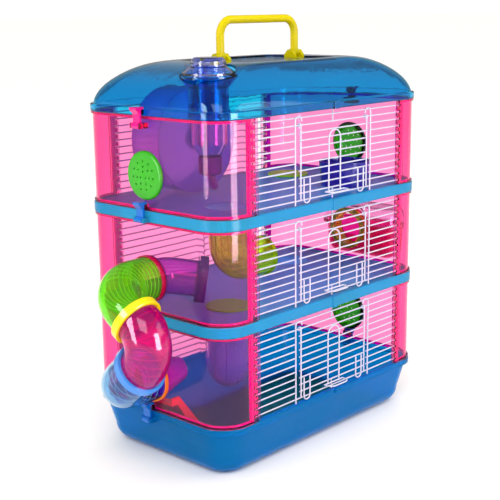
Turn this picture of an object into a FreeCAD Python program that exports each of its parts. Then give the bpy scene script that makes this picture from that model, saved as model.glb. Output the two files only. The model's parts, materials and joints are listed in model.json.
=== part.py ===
import FreeCAD, Part
import math
import os
import re

import Sketcher

# Three-storey play cage for a small pet: a deep tray, three storeys with clear
# end panels and wire fronts, two decks, a domed roof, outside tubes and a pod.
# Millimetres. The origin is the centre of the tray's underside. +X runs along the
# long side to the end with the pod, -Y is the front with the doors, +Z is up.

doc = FreeCAD.newDocument("PlayCage")
sheet = doc.addObject("Spreadsheet::Sheet", "Sizes")

SIZES = {
    # Outline that the rings, the tray rim and the roof rim share
    "ring_length": 410,
    "ring_width": 252,
    "ring_corner": 40,
    "ring_height": 14.5,
    "ring_edge_round": 2,
    "wall_height": 114.5,
    "fit_gap": 0.06,
    "seat_gap": 0.3,
    "overcut": 1,
    # Tray
    "tray_height": 69,
    "tray_lip": 8,
    "tray_wall": 2.5,
    "tray_wall_inset": 5,
    "tray_foot_inset": 13,
    "tray_corner_share": 0.85,
    "tray_foot_round": 24,
    "tray_mark_size": 6,
    "tray_mark_depth": 1.5,
    # Decks
    "deck_plate": 3,
    "deck_skirt": 9,
    "port_x": 120,
    "port_y": 53,
    "port_bore": 56,
    "port_rim_wall": 3,
    "plug_lip": 59,
    "plug_lip_height": 2.2,
    "plug_spigot": 5,
    "plug_wall": 2,
    "tab_width": 11,
    "tab_out": 1.6,
    # Roof
    "roof_rim": 10,
    "dome_rise": 49.5,
    "dome_inset": 4,
    "dome_end_draw": 82,
    "dome_front_draw": 45,
    "dome_wall": 2.5,
    "dome_corner_share": 0.25,
    "roof_step": 0.6,
    "recess_half_length": 88,
    "recess_half_width": 60,
    "recess_depth": 2,
    "recess_corner": 8,
    # End panels
    "panel_inset": 3,
    "panel_wall": 2.5,
    "panel_flange": 2.2,
    "panel_flange_out": 2.4,
    "seam_half": 145,
    "strip_width": 11,
    "strip_out": 1.2,
    "end_bore": 52,
    "end_port_height": 43,
    "end_port_y": 3,
    # Wire fronts and backs
    "wire": 1.8,
    "wire_lap": 0.4,
    "wire_pitch": 9.3,
    "wire_low": 6.1,
    "wire_end": 148,
    "mesh_depth": 121.5,
    "slot_high": 3,
    "slot_end_gap": 0.5,
    "mesh_foot": 1,
    "mesh_head": 113.5,
    "kink_half": 5,
    "kink_drop": 4.5,
    "kink_corner": 1.5,
    # Doors
    "door_shift": 5,
    "post_half": 76.4,
    "post_arch": 6,
    "post_arch_top": 110,
    "post_arch_end": 104,
    "door_half": 67,
    "door_stand": 2.2,
    "door_foot": 8,
    "door_wire_over": 1.3,
    "eye_long": 2.6,
    "hairpin_x": 55,
    "hairpin_half": 6,
    "hairpin_corner": 5.6,
    "hairpin_rise": 33,
    "hairpin_foot": 2.4,
    "middle_wire_half": 11.8,
    "middle_wire_corner": 11.4,
    "middle_wire_top": 88.5,
    "middle_wire_foot": 10,
    "latch_half": 19,
    "latch_out": 12.5,
    "latch_corner": 9,
    "latch_up": 11,
    "stub_low": 14,
    "stub_high": 97,
    # Carrying handle
    "handle_half": 72.3,
    "handle_bar": 10.5,
    "handle_top": 551.75,
    "handle_corner": 20,
    "handle_pivot_up": 7.6,
    "pivot_pin": 5,
    "bracket_ear": 5,
    "bracket_depth": 18,
    "bracket_base": 1.4,
    "bracket_ear_top": 3.4,
    # End clips
    "clip_y": 6,
    "clip_width": 12,
    "clip_barrel": 8,
    "clip_pin": 3,
    "clip_out": 6.5,
    "clip_arm": 2.6,
    "clip_hook_in": 4,
    "clip_hook": 2.6,
    "clip_finger": 6,
    "clip_reach": 19,
    "ear_wall": 3,
    "ear_reach": 3,
    "ear_drop": 3.4,
    "catch_high": 6,
    "catch_out": 4,
    # Outside tubes
    "tube_out": 56,
    "tube_wall": 1.8,
    "tube_reach": 65,
    "tube_bend": 38,
    "tube_front": 91,
    "tube_fall": 57,
    "tube_leg": 48,
    "tube_turn_bend": 33.5,
    "collar_out": 65,
    "collar_long": 10,
    "collar_reach": 1.3,
    "end_ring_out": 60,
    "end_ring_long": 6,
    "pod_ring_out": 62,
    "pod_ring_flange": 3,
    "pod_ring_bore": 48.4,
    # Tube, funnel and slide inside the left end
    "inner_tube_out": 46,
    "inner_flange_reach": 3,
    "inner_tube_first": 25,
    "inner_tube_second": 45,
    "inner_tube_bend": 30,
    "inner_tube_turn": 45,
    "inner_tube_droop": 13,
    "inner_collar_side": 50,
    "inner_collar_long": 12,
    "inner_collar_corner": 11,
    "funnel_long": 44,
    "funnel_tip": 28,
    "slide_width": 54,
    "slide_top_x": 194,
    "slide_top": 80,
    "slide_ledge": 12,
    "slide_foot_x": 128,
    "slide_foot": 3,
    "slide_wall": 2.5,
    "slide_side": 8,
    # Chutes under the decks
    "chute_out": 48,
    "chute_drop": 59.5,
    "chute_bend": 30,
    "chute_leg": 66,
    "chute_flange": 60,
    "chute_flange_high": 2.4,
    "chute_wide_out": 57,
    "chute_wide_drop": 73,
    "chute_wide_bend": 36,
    "chute_wide_leg": 50,
    "chute_wide_flange": 66,
    "chute_wide_turn": 48,
    # Vent caps
    "cap_out": 60,
    "cap_thick": 2.4,
    "cap_edge": 5.5,
    "cap_spigot": 5,
    "cap_spigot_wall": 2,
    "cap_crown": 1.2,
    "cap_round": 3,
    "cap_hole": 2.8,
    "cap_inner_ring": 5,
    "cap_middle_ring": 11,
    "cap_outer_ring": 17.5,
    # Nest pod
    "pod_width": 132,
    "pod_depth": 56,
    "pod_stand": 12,
    "pod_y": 1,
    "pod_below": 45,
    "pod_split": 5,
    "pod_above": 31,
    "pod_corner": 18,
    "pod_taper": 9,
    "pod_wall": 2.2,
    "pod_foot_round": 9,
    "pod_rim_out": 2.4,
    "pod_rim_high": 4,
    "pod_tongue": 4,
    "pod_corner_share": 0.6,
    "pod_foot_share": 0.7,
    "pod_bend_rise_share": 0.3,
    "pod_bend_draw_share": 0.25,
    "pod_side_share": 0.55,
    "pod_shoulder_share": 0.85,
    # Exercise wheel
    "wheel_out": 140,
    "wheel_deep": 50,
    "wheel_wall": 2,
    "wheel_hub": 26,
    "wheel_hub_long": 12,
    "wheel_axle": 6,
    "wheel_lift": 4,
    "wheel_x": 85,
    "wheel_front": 30,
    "wheel_rim": 7,
    "wheel_rim_out": 1.5,
    "axle_knob": 12,
    "axle_knob_long": 4,
    "hanger_width": 27,
    "hanger_thick": 5,
    "hanger_gap": 1,
    "hanger_foot": 4,
    "hanger_foot_deep": 16,
    # Water bottle
    "bottle_x": 152.5,
    "bottle_y": 57.5,
    "bottle_out": 42,
    "bottle_wall": 1.6,
    "bottle_top": 510,
    "bottle_shoulder": 408,
    "bottle_neck": 393,
    "bottle_neck_out": 25,
    "bottle_collar_out": 52,
    "bottle_collar_low": 481,
    "bottle_collar_high": 3,
    "bottle_brim_gap": 0.4,
    "bottle_brim_side_gap": 0.5,
    "bottle_brim_high": 3,
    "bottle_brim_wall": 2.2,
    "bottle_brim_rise": 11,
    "bottle_skirt": 3.6,
    "bottle_top_round": 4,
    "sleeve_wall": 2,
    "sleeve_gap": 1.2,
    "sleeve_low": 440,
    "sleeve_flare_low": 474,
    "sleeve_lip_low": 486,
    "sleeve_top": 489,
    "flare_out": 69,
    "bottle_cap_out": 29,
    "bottle_cap_high": 22,
    "bottle_cap_round": 3,
    "nozzle_out": 9.5,
    "nozzle_bore": 6.5,
    "nozzle_long": 19,
    "nozzle_lean": 22,
    "nozzle_root": 1.2,
    "nozzle_ball": 6.4,
    # Food dish
    "dish_x": 98,
    "dish_y": 68,
    "dish_out": 70,
    "dish_foot": 64,
    "dish_high": 34,
    "dish_wall": 2.5,
}


def fill_sheet():
    """Write each size as a plain number with its name beside it."""
    for row, (name, value) in enumerate(SIZES.items(), start=1):
        sheet.set(f"A{row}", name)
        sheet.set(f"B{row}", str(value))
        sheet.setAlias(f"B{row}", name)
    doc.recompute()


fill_sheet()
NAMES = re.compile(r"\b(" + "|".join(SIZES) + r")\b")


def linked(text):
    """An expression in which each size name points at its cell."""
    return NAMES.sub(lambda match: "Sizes." + match.group(0), text)


def number(text):
    """The present value of an expression, for a sketch's first drawing."""
    value = sheet.evalExpression(linked(text))
    return float(getattr(value, "Value", value))


# Heights that several pieces share
STOREYS = ("lower", "middle", "upper")
STOREY_STEP = "(wall_height + ring_height)"
BASE = {name: f"(tray_height + {index} * {STOREY_STEP})" for index, name in enumerate(STOREYS)}
ROOF_BASE = f"(tray_height + 3 * wall_height + 2 * ring_height)"
DOME_BASE = f"({ROOF_BASE} + roof_rim)"
DOME_TOP = f"({DOME_BASE} + dome_rise)"
RECESS_FLOOR = f"({DOME_TOP} - recess_depth)"
WALL_LENGTH = "(ring_length - 2 * panel_inset)"
WALL_WIDTH = "(ring_width - 2 * panel_inset)"
WALL_CORNER = "(ring_corner - panel_inset)"
WALL_FACE = "(ring_length / 2 - panel_inset)"
HINGE_UP = "(wire_low + 10 * wire_pitch)"


def new_body(label):
    body = doc.addObject("PartDesign::Body", label)
    body.Label = label
    return body


def new_sketch(body, role="XY_Plane", level="0"):
    sketch = body.newObject("Sketcher::SketchObject", body.Name + "_sketch")
    plane = next(item for item in body.Origin.OriginFeatures if item.Role == role)
    sketch.AttachmentSupport = [(plane, "")]
    sketch.MapMode = "FlatFace"
    if level != "0":
        sketch.setExpression("AttachmentOffset.Base.z", linked(level))
    return sketch


def dimension(sketch, kind, refs, text):
    """Add one driving dimension and bind it to its expression."""
    index = sketch.addConstraint(Sketcher.Constraint(kind, *refs, number(text)))
    sketch.setExpression(f"Constraints[{index}]", linked(text))


def pin_point(sketch, geometry, point, x, y):
    """Fix a point at (x, y), on an axis where the text is 0."""
    for kind, axis, text in (("DistanceX", -2, x), ("DistanceY", -1, y)):
        if text == "0":
            sketch.addConstraint(Sketcher.Constraint("PointOnObject", geometry, point, axis))
        else:
            dimension(sketch, kind, (-1, 1, geometry, point), text)


def vector(x, y, z=0.0):
    return FreeCAD.Vector(x, y, z)


def rounded_rectangle(sketch, length, width, corner, x="0", y="0"):
    """A rectangle with round corners, centred on (x, y)."""
    a, b, r = number(length) / 2, number(width) / 2, number(corner)
    mid_x, mid_y = number(x), number(y)
    lines = (((-a + r, -b), (a - r, -b)), ((a, -b + r), (a, b - r)),
             ((a - r, b), (-a + r, b)), ((-a, b - r), (-a, -b + r)))
    centres = ((a - r, -b + r), (a - r, b - r), (-a + r, b - r), (-a + r, -b + r))
    sides, arcs = [], []
    for (start, end), centre, turn in zip(lines, centres, (270, 0, 90, 180)):
        first = vector(start[0] + mid_x, start[1] + mid_y)
        last = vector(end[0] + mid_x, end[1] + mid_y)
        sides.append(sketch.addGeometry(Part.LineSegment(first, last)))
        circle_of_arc = Part.Circle(vector(centre[0] + mid_x, centre[1] + mid_y), vector(0, 0, 1), r)
        arc = Part.ArcOfCircle(circle_of_arc, math.radians(turn), math.radians(turn + 90))
        arcs.append(sketch.addGeometry(arc))
    for index in range(4):
        after = (index + 1) % 4
        sketch.addConstraint(Sketcher.Constraint("Tangent", sides[index], 2, arcs[index], 1))
        sketch.addConstraint(Sketcher.Constraint("Tangent", arcs[index], 2, sides[after], 1))
        kind = "Horizontal" if index % 2 == 0 else "Vertical"
        sketch.addConstraint(Sketcher.Constraint(kind, sides[index]))
    for index in range(1, 4):
        sketch.addConstraint(Sketcher.Constraint("Equal", arcs[0], arcs[index]))
    dimension(sketch, "Radius", (arcs[0],), corner)
    dimension(sketch, "DistanceX", (-1, 1, sides[1], 1), f"{x} + {length} / 2")
    dimension(sketch, "DistanceX", (-1, 1, sides[3], 1), f"{x} - {length} / 2")
    dimension(sketch, "DistanceY", (-1, 1, sides[0], 1), f"{y} - {width} / 2")
    dimension(sketch, "DistanceY", (-1, 1, sides[2], 1), f"{y} + {width} / 2")


def circle(sketch, diameter, x="0", y="0"):
    shape = Part.Circle(vector(number(x), number(y)), vector(0, 0, 1), number(diameter) / 2)
    index = sketch.addGeometry(shape)
    pin_point(sketch, index, 3, x, y)
    dimension(sketch, "Diameter", (index,), diameter)


def outline(sketch, points, closed=True):
    """Straight lines through the points, each point placed by its expressions."""
    values = [vector(number(x), number(y)) for x, y in points]
    count = len(points) if closed else len(points) - 1
    lines = []
    for index in range(count):
        after = values[(index + 1) % len(points)]
        lines.append(sketch.addGeometry(Part.LineSegment(values[index], after)))
    for index in range(1, count):
        sketch.addConstraint(Sketcher.Constraint("Coincident", lines[index - 1], 2, lines[index], 1))
    if closed:
        sketch.addConstraint(Sketcher.Constraint("Coincident", lines[-1], 2, lines[0], 1))
    for index, (x, y) in enumerate(points[:count]):
        pin_point(sketch, lines[index], 1, x, y)
    if not closed:
        pin_point(sketch, lines[-1], 2, *points[-1])
    return lines


def pad(body, sketch, length, midplane=False, down=False):
    feature = body.newObject("PartDesign::Pad", body.Name + "_pad")
    feature.Profile = sketch
    feature.setExpression("Length", linked(length))
    feature.Midplane = midplane
    feature.Reversed = down
    return feature


def take_away(body, sketch, kind="PartDesign::Pocket", length=None, midplane=False):
    """Cut a profile out of the body, in the direction in which it meets it."""
    doc.recompute()
    before = body.Shape.Volume
    feature = body.newObject(kind, body.Name + "_cut")
    feature.Profile = sketch
    if length is None:
        feature.Type = "ThroughAll"
    else:
        feature.setExpression("Length", linked(length))
    feature.Midplane = midplane
    doc.recompute()
    if body.Shape.Volume > before * 0.9999999:
        feature.Reversed = True
        doc.recompute()
    return feature


def revolve(body, sketch, kind="PartDesign::Revolution", axis="V_Axis"):
    feature = body.newObject(kind, body.Name + "_turned")
    feature.Profile = sketch
    feature.ReferenceAxis = (sketch, [axis])
    feature.Angle = 360
    return feature


def loft(body, sketches, kind="PartDesign::AdditiveLoft"):
    feature = body.newObject(kind, body.Name + "_loft")
    feature.Profile = sketches[0]
    feature.Sections = sketches[1:]
    feature.Ruled = False
    return feature


def pipe(body, profile, spine, kind="PartDesign::AdditivePipe", corners="Transformed"):
    feature = body.newObject(kind, body.Name + "_pipe")
    feature.Profile = profile
    feature.Spine = (spine, [])
    feature.Transition = corners
    return feature


def repeat(body, feature, sketch, count, pitch, axis="V_Axis"):
    """Copies of a feature in a row along one axis of a sketch."""
    row = body.newObject("PartDesign::LinearPattern", body.Name + "_row")
    row.Originals = [feature]
    row.Direction = (sketch, [axis])
    row.Occurrences = count
    row.setExpression("Length", linked(f"{count - 1} * {pitch}"))
    body.Tip = row
    return row


def round_about(body, feature, sketch, count):
    """Copies of a feature around a sketch's normal."""
    ring = body.newObject("PartDesign::PolarPattern", body.Name + "_ring")
    ring.Originals = [feature]
    ring.Axis = (sketch, ["N_Axis"])
    ring.Angle = 360
    ring.Occurrences = count
    body.Tip = ring
    return ring


def soften(body, radius, chosen, kind="PartDesign::Fillet"):
    """Round or bevel the edges that a test picks."""
    doc.recompute()
    tip = body.Tip
    edges = [f"Edge{index + 1}" for index, edge in enumerate(tip.Shape.Edges) if chosen(edge)]
    feature = body.newObject(kind, body.Name + "_soft")
    feature.Base = (tip, edges)
    feature.setExpression("Radius" if kind.endswith("Fillet") else "Size", linked(radius))
    doc.recompute()
    return feature


def lies_at(level):
    """A test for edges that lie flat at one height."""
    height = number(level)
    tolerance = number("fit_gap")
    return lambda edge: all(abs(z - height) < tolerance
                            for z in (edge.BoundBox.ZMin, edge.BoundBox.ZMax))


def place(obj, x="0", y="0", z="0", rotation=None):
    """Give a piece its Placement, with its position bound to the sheet."""
    obj.Placement = FreeCAD.Placement(vector(0, 0, 0), rotation or FreeCAD.Rotation())
    for axis, text in zip("xyz", (x, y, z)):
        if text != "0":
            obj.setExpression(f"Placement.Base.{axis}", linked(text))


def arc_at(centre, radius, first, second):
    """The short arc between two points, and which of its ends is the first."""
    a = math.atan2(first[1] - centre[1], first[0] - centre[0])
    b = math.atan2(second[1] - centre[1], second[0] - centre[0])
    round_line = Part.Circle(vector(*centre), vector(0, 0, 1), radius)
    if (b - a) % (2 * math.pi) < math.pi:
        return Part.ArcOfCircle(round_line, a, a + (b - a) % (2 * math.pi)), (1, 2)
    return Part.ArcOfCircle(round_line, b, b + (a - b) % (2 * math.pi)), (2, 1)


def spine(sketch, points, radius, turn=None):
    """A path of straight lines with round corners; a turn angles its second line."""
    r = number(radius)
    spots = [(number(x), number(y)) for x, y in points]
    ways, cuts = [], [0.0]
    for (ax, ay), (bx, by) in zip(spots, spots[1:]):
        long = math.hypot(bx - ax, by - ay)
        ways.append(((bx - ax) / long, (by - ay) / long))
    for first, second in zip(ways, ways[1:]):
        bend = math.acos(max(-1.0, min(1.0, first[0] * second[0] + first[1] * second[1])))
        cuts.append(r * math.tan(bend / 2))
    cuts.append(0.0)
    lines, arcs = [], []
    for index, way in enumerate(ways):
        start, end = spots[index], spots[index + 1]
        head = (start[0] + way[0] * cuts[index], start[1] + way[1] * cuts[index])
        tail = (end[0] - way[0] * cuts[index + 1], end[1] - way[1] * cuts[index + 1])
        if index:
            last = ways[index - 1]
            side = 1 if last[0] * way[1] - last[1] * way[0] > 0 else -1
            centre = (head[0] - way[1] * r * side, head[1] + way[0] * r * side)
            arc, ends = arc_at(centre, r, previous, head)
            arcs.append((sketch.addGeometry(arc), ends))
        lines.append(sketch.addGeometry(Part.LineSegment(vector(*head), vector(*tail))))
        previous = tail
    for index, (arc, ends) in enumerate(arcs):
        sketch.addConstraint(Sketcher.Constraint("Tangent", lines[index], 2, arc, ends[0]))
        sketch.addConstraint(Sketcher.Constraint("Tangent", arc, ends[1], lines[index + 1], 1))
        if index:
            sketch.addConstraint(Sketcher.Constraint("Equal", arcs[0][0], arc))
    dimension(sketch, "Radius", (arcs[0][0],), radius)
    for index, line in enumerate(lines):
        level = abs(ways[index][1]) < 1e-6
        if index == 1 and turn:
            slant = sketch.addConstraint(Sketcher.Constraint("Angle", line, math.radians(number(turn))))
            sketch.setExpression(f"Constraints[{slant}]", linked(turn))
        else:
            sketch.addConstraint(Sketcher.Constraint("Horizontal" if level else "Vertical", line))
        if 0 < index < len(lines) - 1:
            kind, text = ("DistanceY", points[index][1]) if level else ("DistanceX", points[index][0])
            dimension(sketch, kind, (-1, 1, line, 1), text)
    pin_point(sketch, lines[0], 1, *points[0])
    pin_point(sketch, lines[-1], 2, *points[-1])


def turned(label, points):
    """A piece turned about Z from points given as radius and height."""
    body = new_body(label)
    profile = new_sketch(body, "XZ_Plane")
    outline(profile, points)
    revolve(body, profile)
    return body


def elbow(label, first, second, bend, turn, outer, wall):
    """A hollow tube that turns once: its corner is at the origin of its own frame."""
    body = new_body(label)
    for diameter, kind in ((outer, "PartDesign::AdditivePipe"),
                           (f"({outer} - 2 * {wall})", "PartDesign::SubtractivePipe")):
        path = new_sketch(body)
        spine(path, [(f"-{first}", "0"), ("0", "0"),
                     (f"{second} * cos({turn})", f"{second} * sin({turn})")], bend, turn)
        ring = new_sketch(body, "YZ_Plane", f"-{first}")
        circle(ring, diameter)
        pipe(body, ring, path, kind)
        doc.recompute()
    return body


def wire_path(body, level, points, radius):
    """A bent wire in an upright plane, from an upright first stretch."""
    path = new_sketch(body, "XZ_Plane", level)
    spine(path, points, radius)
    ring = new_sketch(body, level=points[0][1])
    circle(ring, "wire", points[0][0], f"-({level})")
    return pipe(body, ring, path)


def level_wire(body, low, high, level, up):
    """A straight wire along X between two places."""
    ring = new_sketch(body, "YZ_Plane", low)
    circle(ring, "wire", f"-({level})", up)
    return pad(body, ring, f"({high}) - ({low})")


def upright_wire(body, x, level, low, high):
    """A straight wire along Z between two heights."""
    ring = new_sketch(body, level=low)
    circle(ring, "wire", x, f"-({level})")
    return pad(body, ring, f"({high}) - ({low})")


# Clips at the ends: the ears that carry them and the blocks they hook over

CLIP_AXIS = "(ring_length / 2 + clip_out)"
CATCH_TOP = "(panel_flange + catch_high)"
PIVOT_DROP = "(clip_reach - panel_flange - catch_high)"


def side_profile(body, side, points):
    """A profile across one end, mirrored for the left end."""
    sketch = new_sketch(body, "XZ_Plane", "-clip_y")
    sign = "" if side > 0 else "-"
    outline(sketch, [(f"{sign}({x})", y) for x, y in points])
    return sketch


def add_ears(body, side, joint, root):
    """Two ears and a moulded pin for a clip whose joint is at a height."""
    pivot = f"({joint} - {PIVOT_DROP})"
    inner = f"({CLIP_AXIS} - clip_barrel / 2 - seat_gap)"
    ear = side_profile(body, side, [(root, f"{pivot} + ear_reach"),
                                    (f"{CLIP_AXIS} + ear_reach", f"{pivot} + ear_reach"),
                                    (f"{CLIP_AXIS} + ear_reach", f"{pivot} - ear_reach"),
                                    (root, f"{pivot} - ear_drop")])
    pad(body, ear, "(clip_width + 2 * seat_gap + 2 * ear_wall)", midplane=True)
    slot = side_profile(body, side, [(inner, f"{pivot} + 3 * ear_reach"),
                                     (f"{CLIP_AXIS} + 2 * ear_reach", f"{pivot} + 3 * ear_reach"),
                                     (f"{CLIP_AXIS} + 2 * ear_reach", f"{pivot} - 3 * ear_reach"),
                                     (inner, f"{pivot} - 3 * ear_reach")])
    take_away(body, slot, length="(clip_width + 2 * seat_gap)", midplane=True)
    pin = new_sketch(body, "XZ_Plane", "-clip_y")
    circle(pin, "clip_pin", ("" if side > 0 else "-") + CLIP_AXIS, pivot)
    pad(body, pin, "(clip_width + 2 * seat_gap + ear_wall)", midplane=True)


def add_catch(body, side, joint, root):
    """The block that a clip hooks over, just above a joint."""
    catch = side_profile(body, side, [(root, f"{joint} + panel_flange"),
                                      ("ring_length / 2 + catch_out", f"{joint} + panel_flange"),
                                      ("ring_length / 2 + catch_out", f"{joint} + {CATCH_TOP}"),
                                      (root, f"{joint} + {CATCH_TOP}")])
    pad(body, catch, "(clip_width - 2 * seat_gap)", midplane=True)


def make_clip(label, side, joint):
    """A lever that turns on a moulded pin and hooks over the block above it."""
    body = new_body(label)
    inner = "(clip_out - catch_out - seat_gap)"
    under = "(clip_reach + seat_gap)"
    lever = new_sketch(body, "XZ_Plane")
    outline(lever, [(f"-{inner}", "0"),
                    (f"-{inner}", under),
                    (f"-({inner} + clip_hook_in)", under),
                    (f"-({inner} + clip_hook_in)", f"{under} + clip_hook"),
                    ("clip_finger", f"{under} + clip_hook"),
                    ("clip_finger", f"{under}"),
                    (f"clip_arm - {inner}", f"{under} - clip_finger"),
                    (f"clip_arm - {inner}", "0")])
    pad(body, lever, "clip_width", midplane=True)
    barrel = new_sketch(body, "XZ_Plane")
    circle(barrel, "clip_barrel")
    pad(body, barrel, "clip_width", midplane=True)
    bore = new_sketch(body, "XZ_Plane")
    circle(bore, "(clip_pin + 2 * fit_gap)")
    take_away(body, bore, length="(clip_width + 2 * overcut)", midplane=True)
    turn = FreeCAD.Rotation() if side > 0 else FreeCAD.Rotation(vector(0, 0, 1), 180)
    place(body, ("" if side > 0 else "-") + CLIP_AXIS, "clip_y", f"{joint} - {PIVOT_DROP}", turn)
    return body


# Tray

# How the tray's foot curves in, as shares of its round: height, then inset
FOOT_HEIGHT_SHARES = (0, 0.06, 0.25, 0.6, 1)
FOOT_INSET_SHARES = (1, 0.659, 0.339, 0.083, 0)


def tray_section(body, level, drawn, tight):
    section = new_sketch(body, level=level)
    rounded_rectangle(section, f"(ring_length - 2 * ({drawn}))", f"(ring_width - 2 * ({drawn}))",
                      f"(ring_corner - tray_wall_inset - ({tight}))")
    return section


def tray_lofts(body, wall, top, kind):
    """The tray's curved foot and its plain wall, drawn in by a wall for the inside."""
    bend = f"(tray_foot_round - {wall})"
    foot = [tray_section(body, f"{wall} + {rise} * {bend}",
                         f"tray_foot_inset + {wall} + {inset} * {bend}",
                         f"{wall} + tray_corner_share * {inset} * {bend}")
            for rise, inset in zip(FOOT_HEIGHT_SHARES, FOOT_INSET_SHARES)]
    loft(body, foot, kind)
    wall_foot = tray_section(body, "tray_foot_round", f"tray_foot_inset + {wall}", wall)
    wall_top = tray_section(body, top, f"tray_wall_inset + {wall}", wall)
    loft(body, [wall_foot, wall_top], kind)


def make_tray():
    body = new_body("tray")
    tray_lofts(body, "(0 * tray_wall)", "tray_height - tray_lip", "PartDesign::AdditiveLoft")
    lip = new_sketch(body, level="tray_height - tray_lip")
    rounded_rectangle(lip, "ring_length", "ring_width", "ring_corner")
    pad(body, lip, "tray_lip")
    soften(body, "ring_edge_round", lies_at("tray_height"))
    for side in (-1, 1):
        add_ears(body, side, "tray_height", "(ring_length / 2 - 2 * tray_wall_inset)")
    tray_lofts(body, "tray_wall", "tray_height + overcut", "PartDesign::SubtractiveLoft")
    mark = new_sketch(body, "XZ_Plane", "ring_width / 2")
    outline(mark, [("door_shift - tray_mark_size", "tray_height + overcut"),
                   ("door_shift + tray_mark_size", "tray_height + overcut"),
                   ("door_shift", "tray_height - tray_mark_size")])
    take_away(body, mark, length="tray_mark_depth")
    return body


# Decks

def add_front_tab(body, level, height):
    tab = new_sketch(body, level=level)
    rounded_rectangle(tab, "tab_width", "(2 * tab_out + 2 * ring_edge_round)", "tab_out",
                      "door_shift", "(-ring_width / 2 + ring_edge_round)")
    pad(body, tab, height)


def make_deck(label, base, right_clip):
    body = new_body(label)
    ring = new_sketch(body)
    rounded_rectangle(ring, "ring_length", "ring_width", "ring_corner")
    pad(body, ring, "ring_height")
    soften(body, "ring_edge_round", lambda edge: lies_at("0")(edge) or lies_at("ring_height")(edge))
    under = new_sketch(body)
    rounded_rectangle(under, "(ring_length - 2 * deck_skirt)", "(ring_width - 2 * deck_skirt)",
                      "(ring_corner - deck_skirt)")
    take_away(body, under, length="(ring_height - deck_plate)")
    rims = new_sketch(body)
    bores = new_sketch(body)
    for sign in ("", "-"):
        circle(rims, "(port_bore + 2 * port_rim_wall)", f"{sign}port_x", f"{sign}port_y")
        circle(bores, "port_bore", f"{sign}port_x", f"{sign}port_y")
    pad(body, rims, "ring_height - deck_plate / 2")
    take_away(body, bores)
    add_front_tab(body, "0", "ring_height")
    for side in (-1, 1):
        if side < 0 or right_clip:
            add_ears(body, side, "ring_height", "(ring_length / 2 - tray_wall_inset)")
    place(body, z=base)
    return body


def make_plug(label, x, y, base):
    inner = "(port_bore / 2 - seat_gap - plug_wall)"
    body = turned(label, [("0", "seat_gap"),
                          (inner, "seat_gap"),
                          (inner, "-plug_spigot"),
                          ("port_bore / 2 - seat_gap", "-plug_spigot"),
                          ("port_bore / 2 - seat_gap", "seat_gap"),
                          ("plug_lip / 2", "seat_gap"),
                          ("plug_lip / 2", "seat_gap + plug_lip_height"),
                          ("0", "seat_gap + plug_lip_height")])
    soften(body, "(plug_lip_height / 3)", lies_at("seat_gap + plug_lip_height"))
    place(body, x, y, f"{base} + ring_height")
    return body


# Roof

# How far the dome has drawn in at each height, as shares of its rise and of its
# full draw at the ends and at the front and back
DOME_RISE_SHARES = (0, 0.3, 0.5, 0.7, 0.85, 0.95, 1)
DOME_END_SHARES = (0, 0.035, 0.11, 0.25, 0.43, 0.65, 1)
DOME_FRONT_SHARES = (0, 0.16, 0.33, 0.55, 0.74, 0.89, 1)
SLEEVE_BORE = "(bottle_out / 2 + sleeve_gap)"


def dome_sections(body, wall, start):
    """Level outlines of the dome, drawn in by a wall for its inside."""
    sections = []
    for rise, end, front in zip(DOME_RISE_SHARES, DOME_END_SHARES, DOME_FRONT_SHARES):
        level = f"{DOME_BASE} + {rise} * (dome_rise - {wall})"
        section = new_sketch(body, level=level if rise else start)
        draw_x = f"(dome_inset + {end} * dome_end_draw + {wall})"
        draw_y = f"(dome_inset + {front} * dome_front_draw + {wall})"
        rounded_rectangle(section, f"(ring_length - 2 * {draw_x})", f"(ring_width - 2 * {draw_y})",
                          f"(ring_corner - dome_inset + dome_corner_share * {front} * dome_front_draw - {wall})")
        sections.append(section)
    return sections


def turn_about_bottle(body, points, kind):
    """Add or cut a shape turned about the bottle's axis."""
    profile = new_sketch(body, "XZ_Plane", "bottle_y")
    outline(profile, points)
    spindle = Part.LineSegment(vector(-number("bottle_x"), number("sleeve_low")),
                               vector(-number("bottle_x"), number("sleeve_top")))
    index = profile.addGeometry(spindle, True)
    profile.addConstraint(Sketcher.Constraint("Vertical", index))
    pin_point(profile, index, 1, "-bottle_x", "sleeve_low")
    dimension(profile, "DistanceY", (-1, 1, index, 2), "sleeve_top")
    revolve(body, profile, kind, "Axis0")
    doc.recompute()


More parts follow.
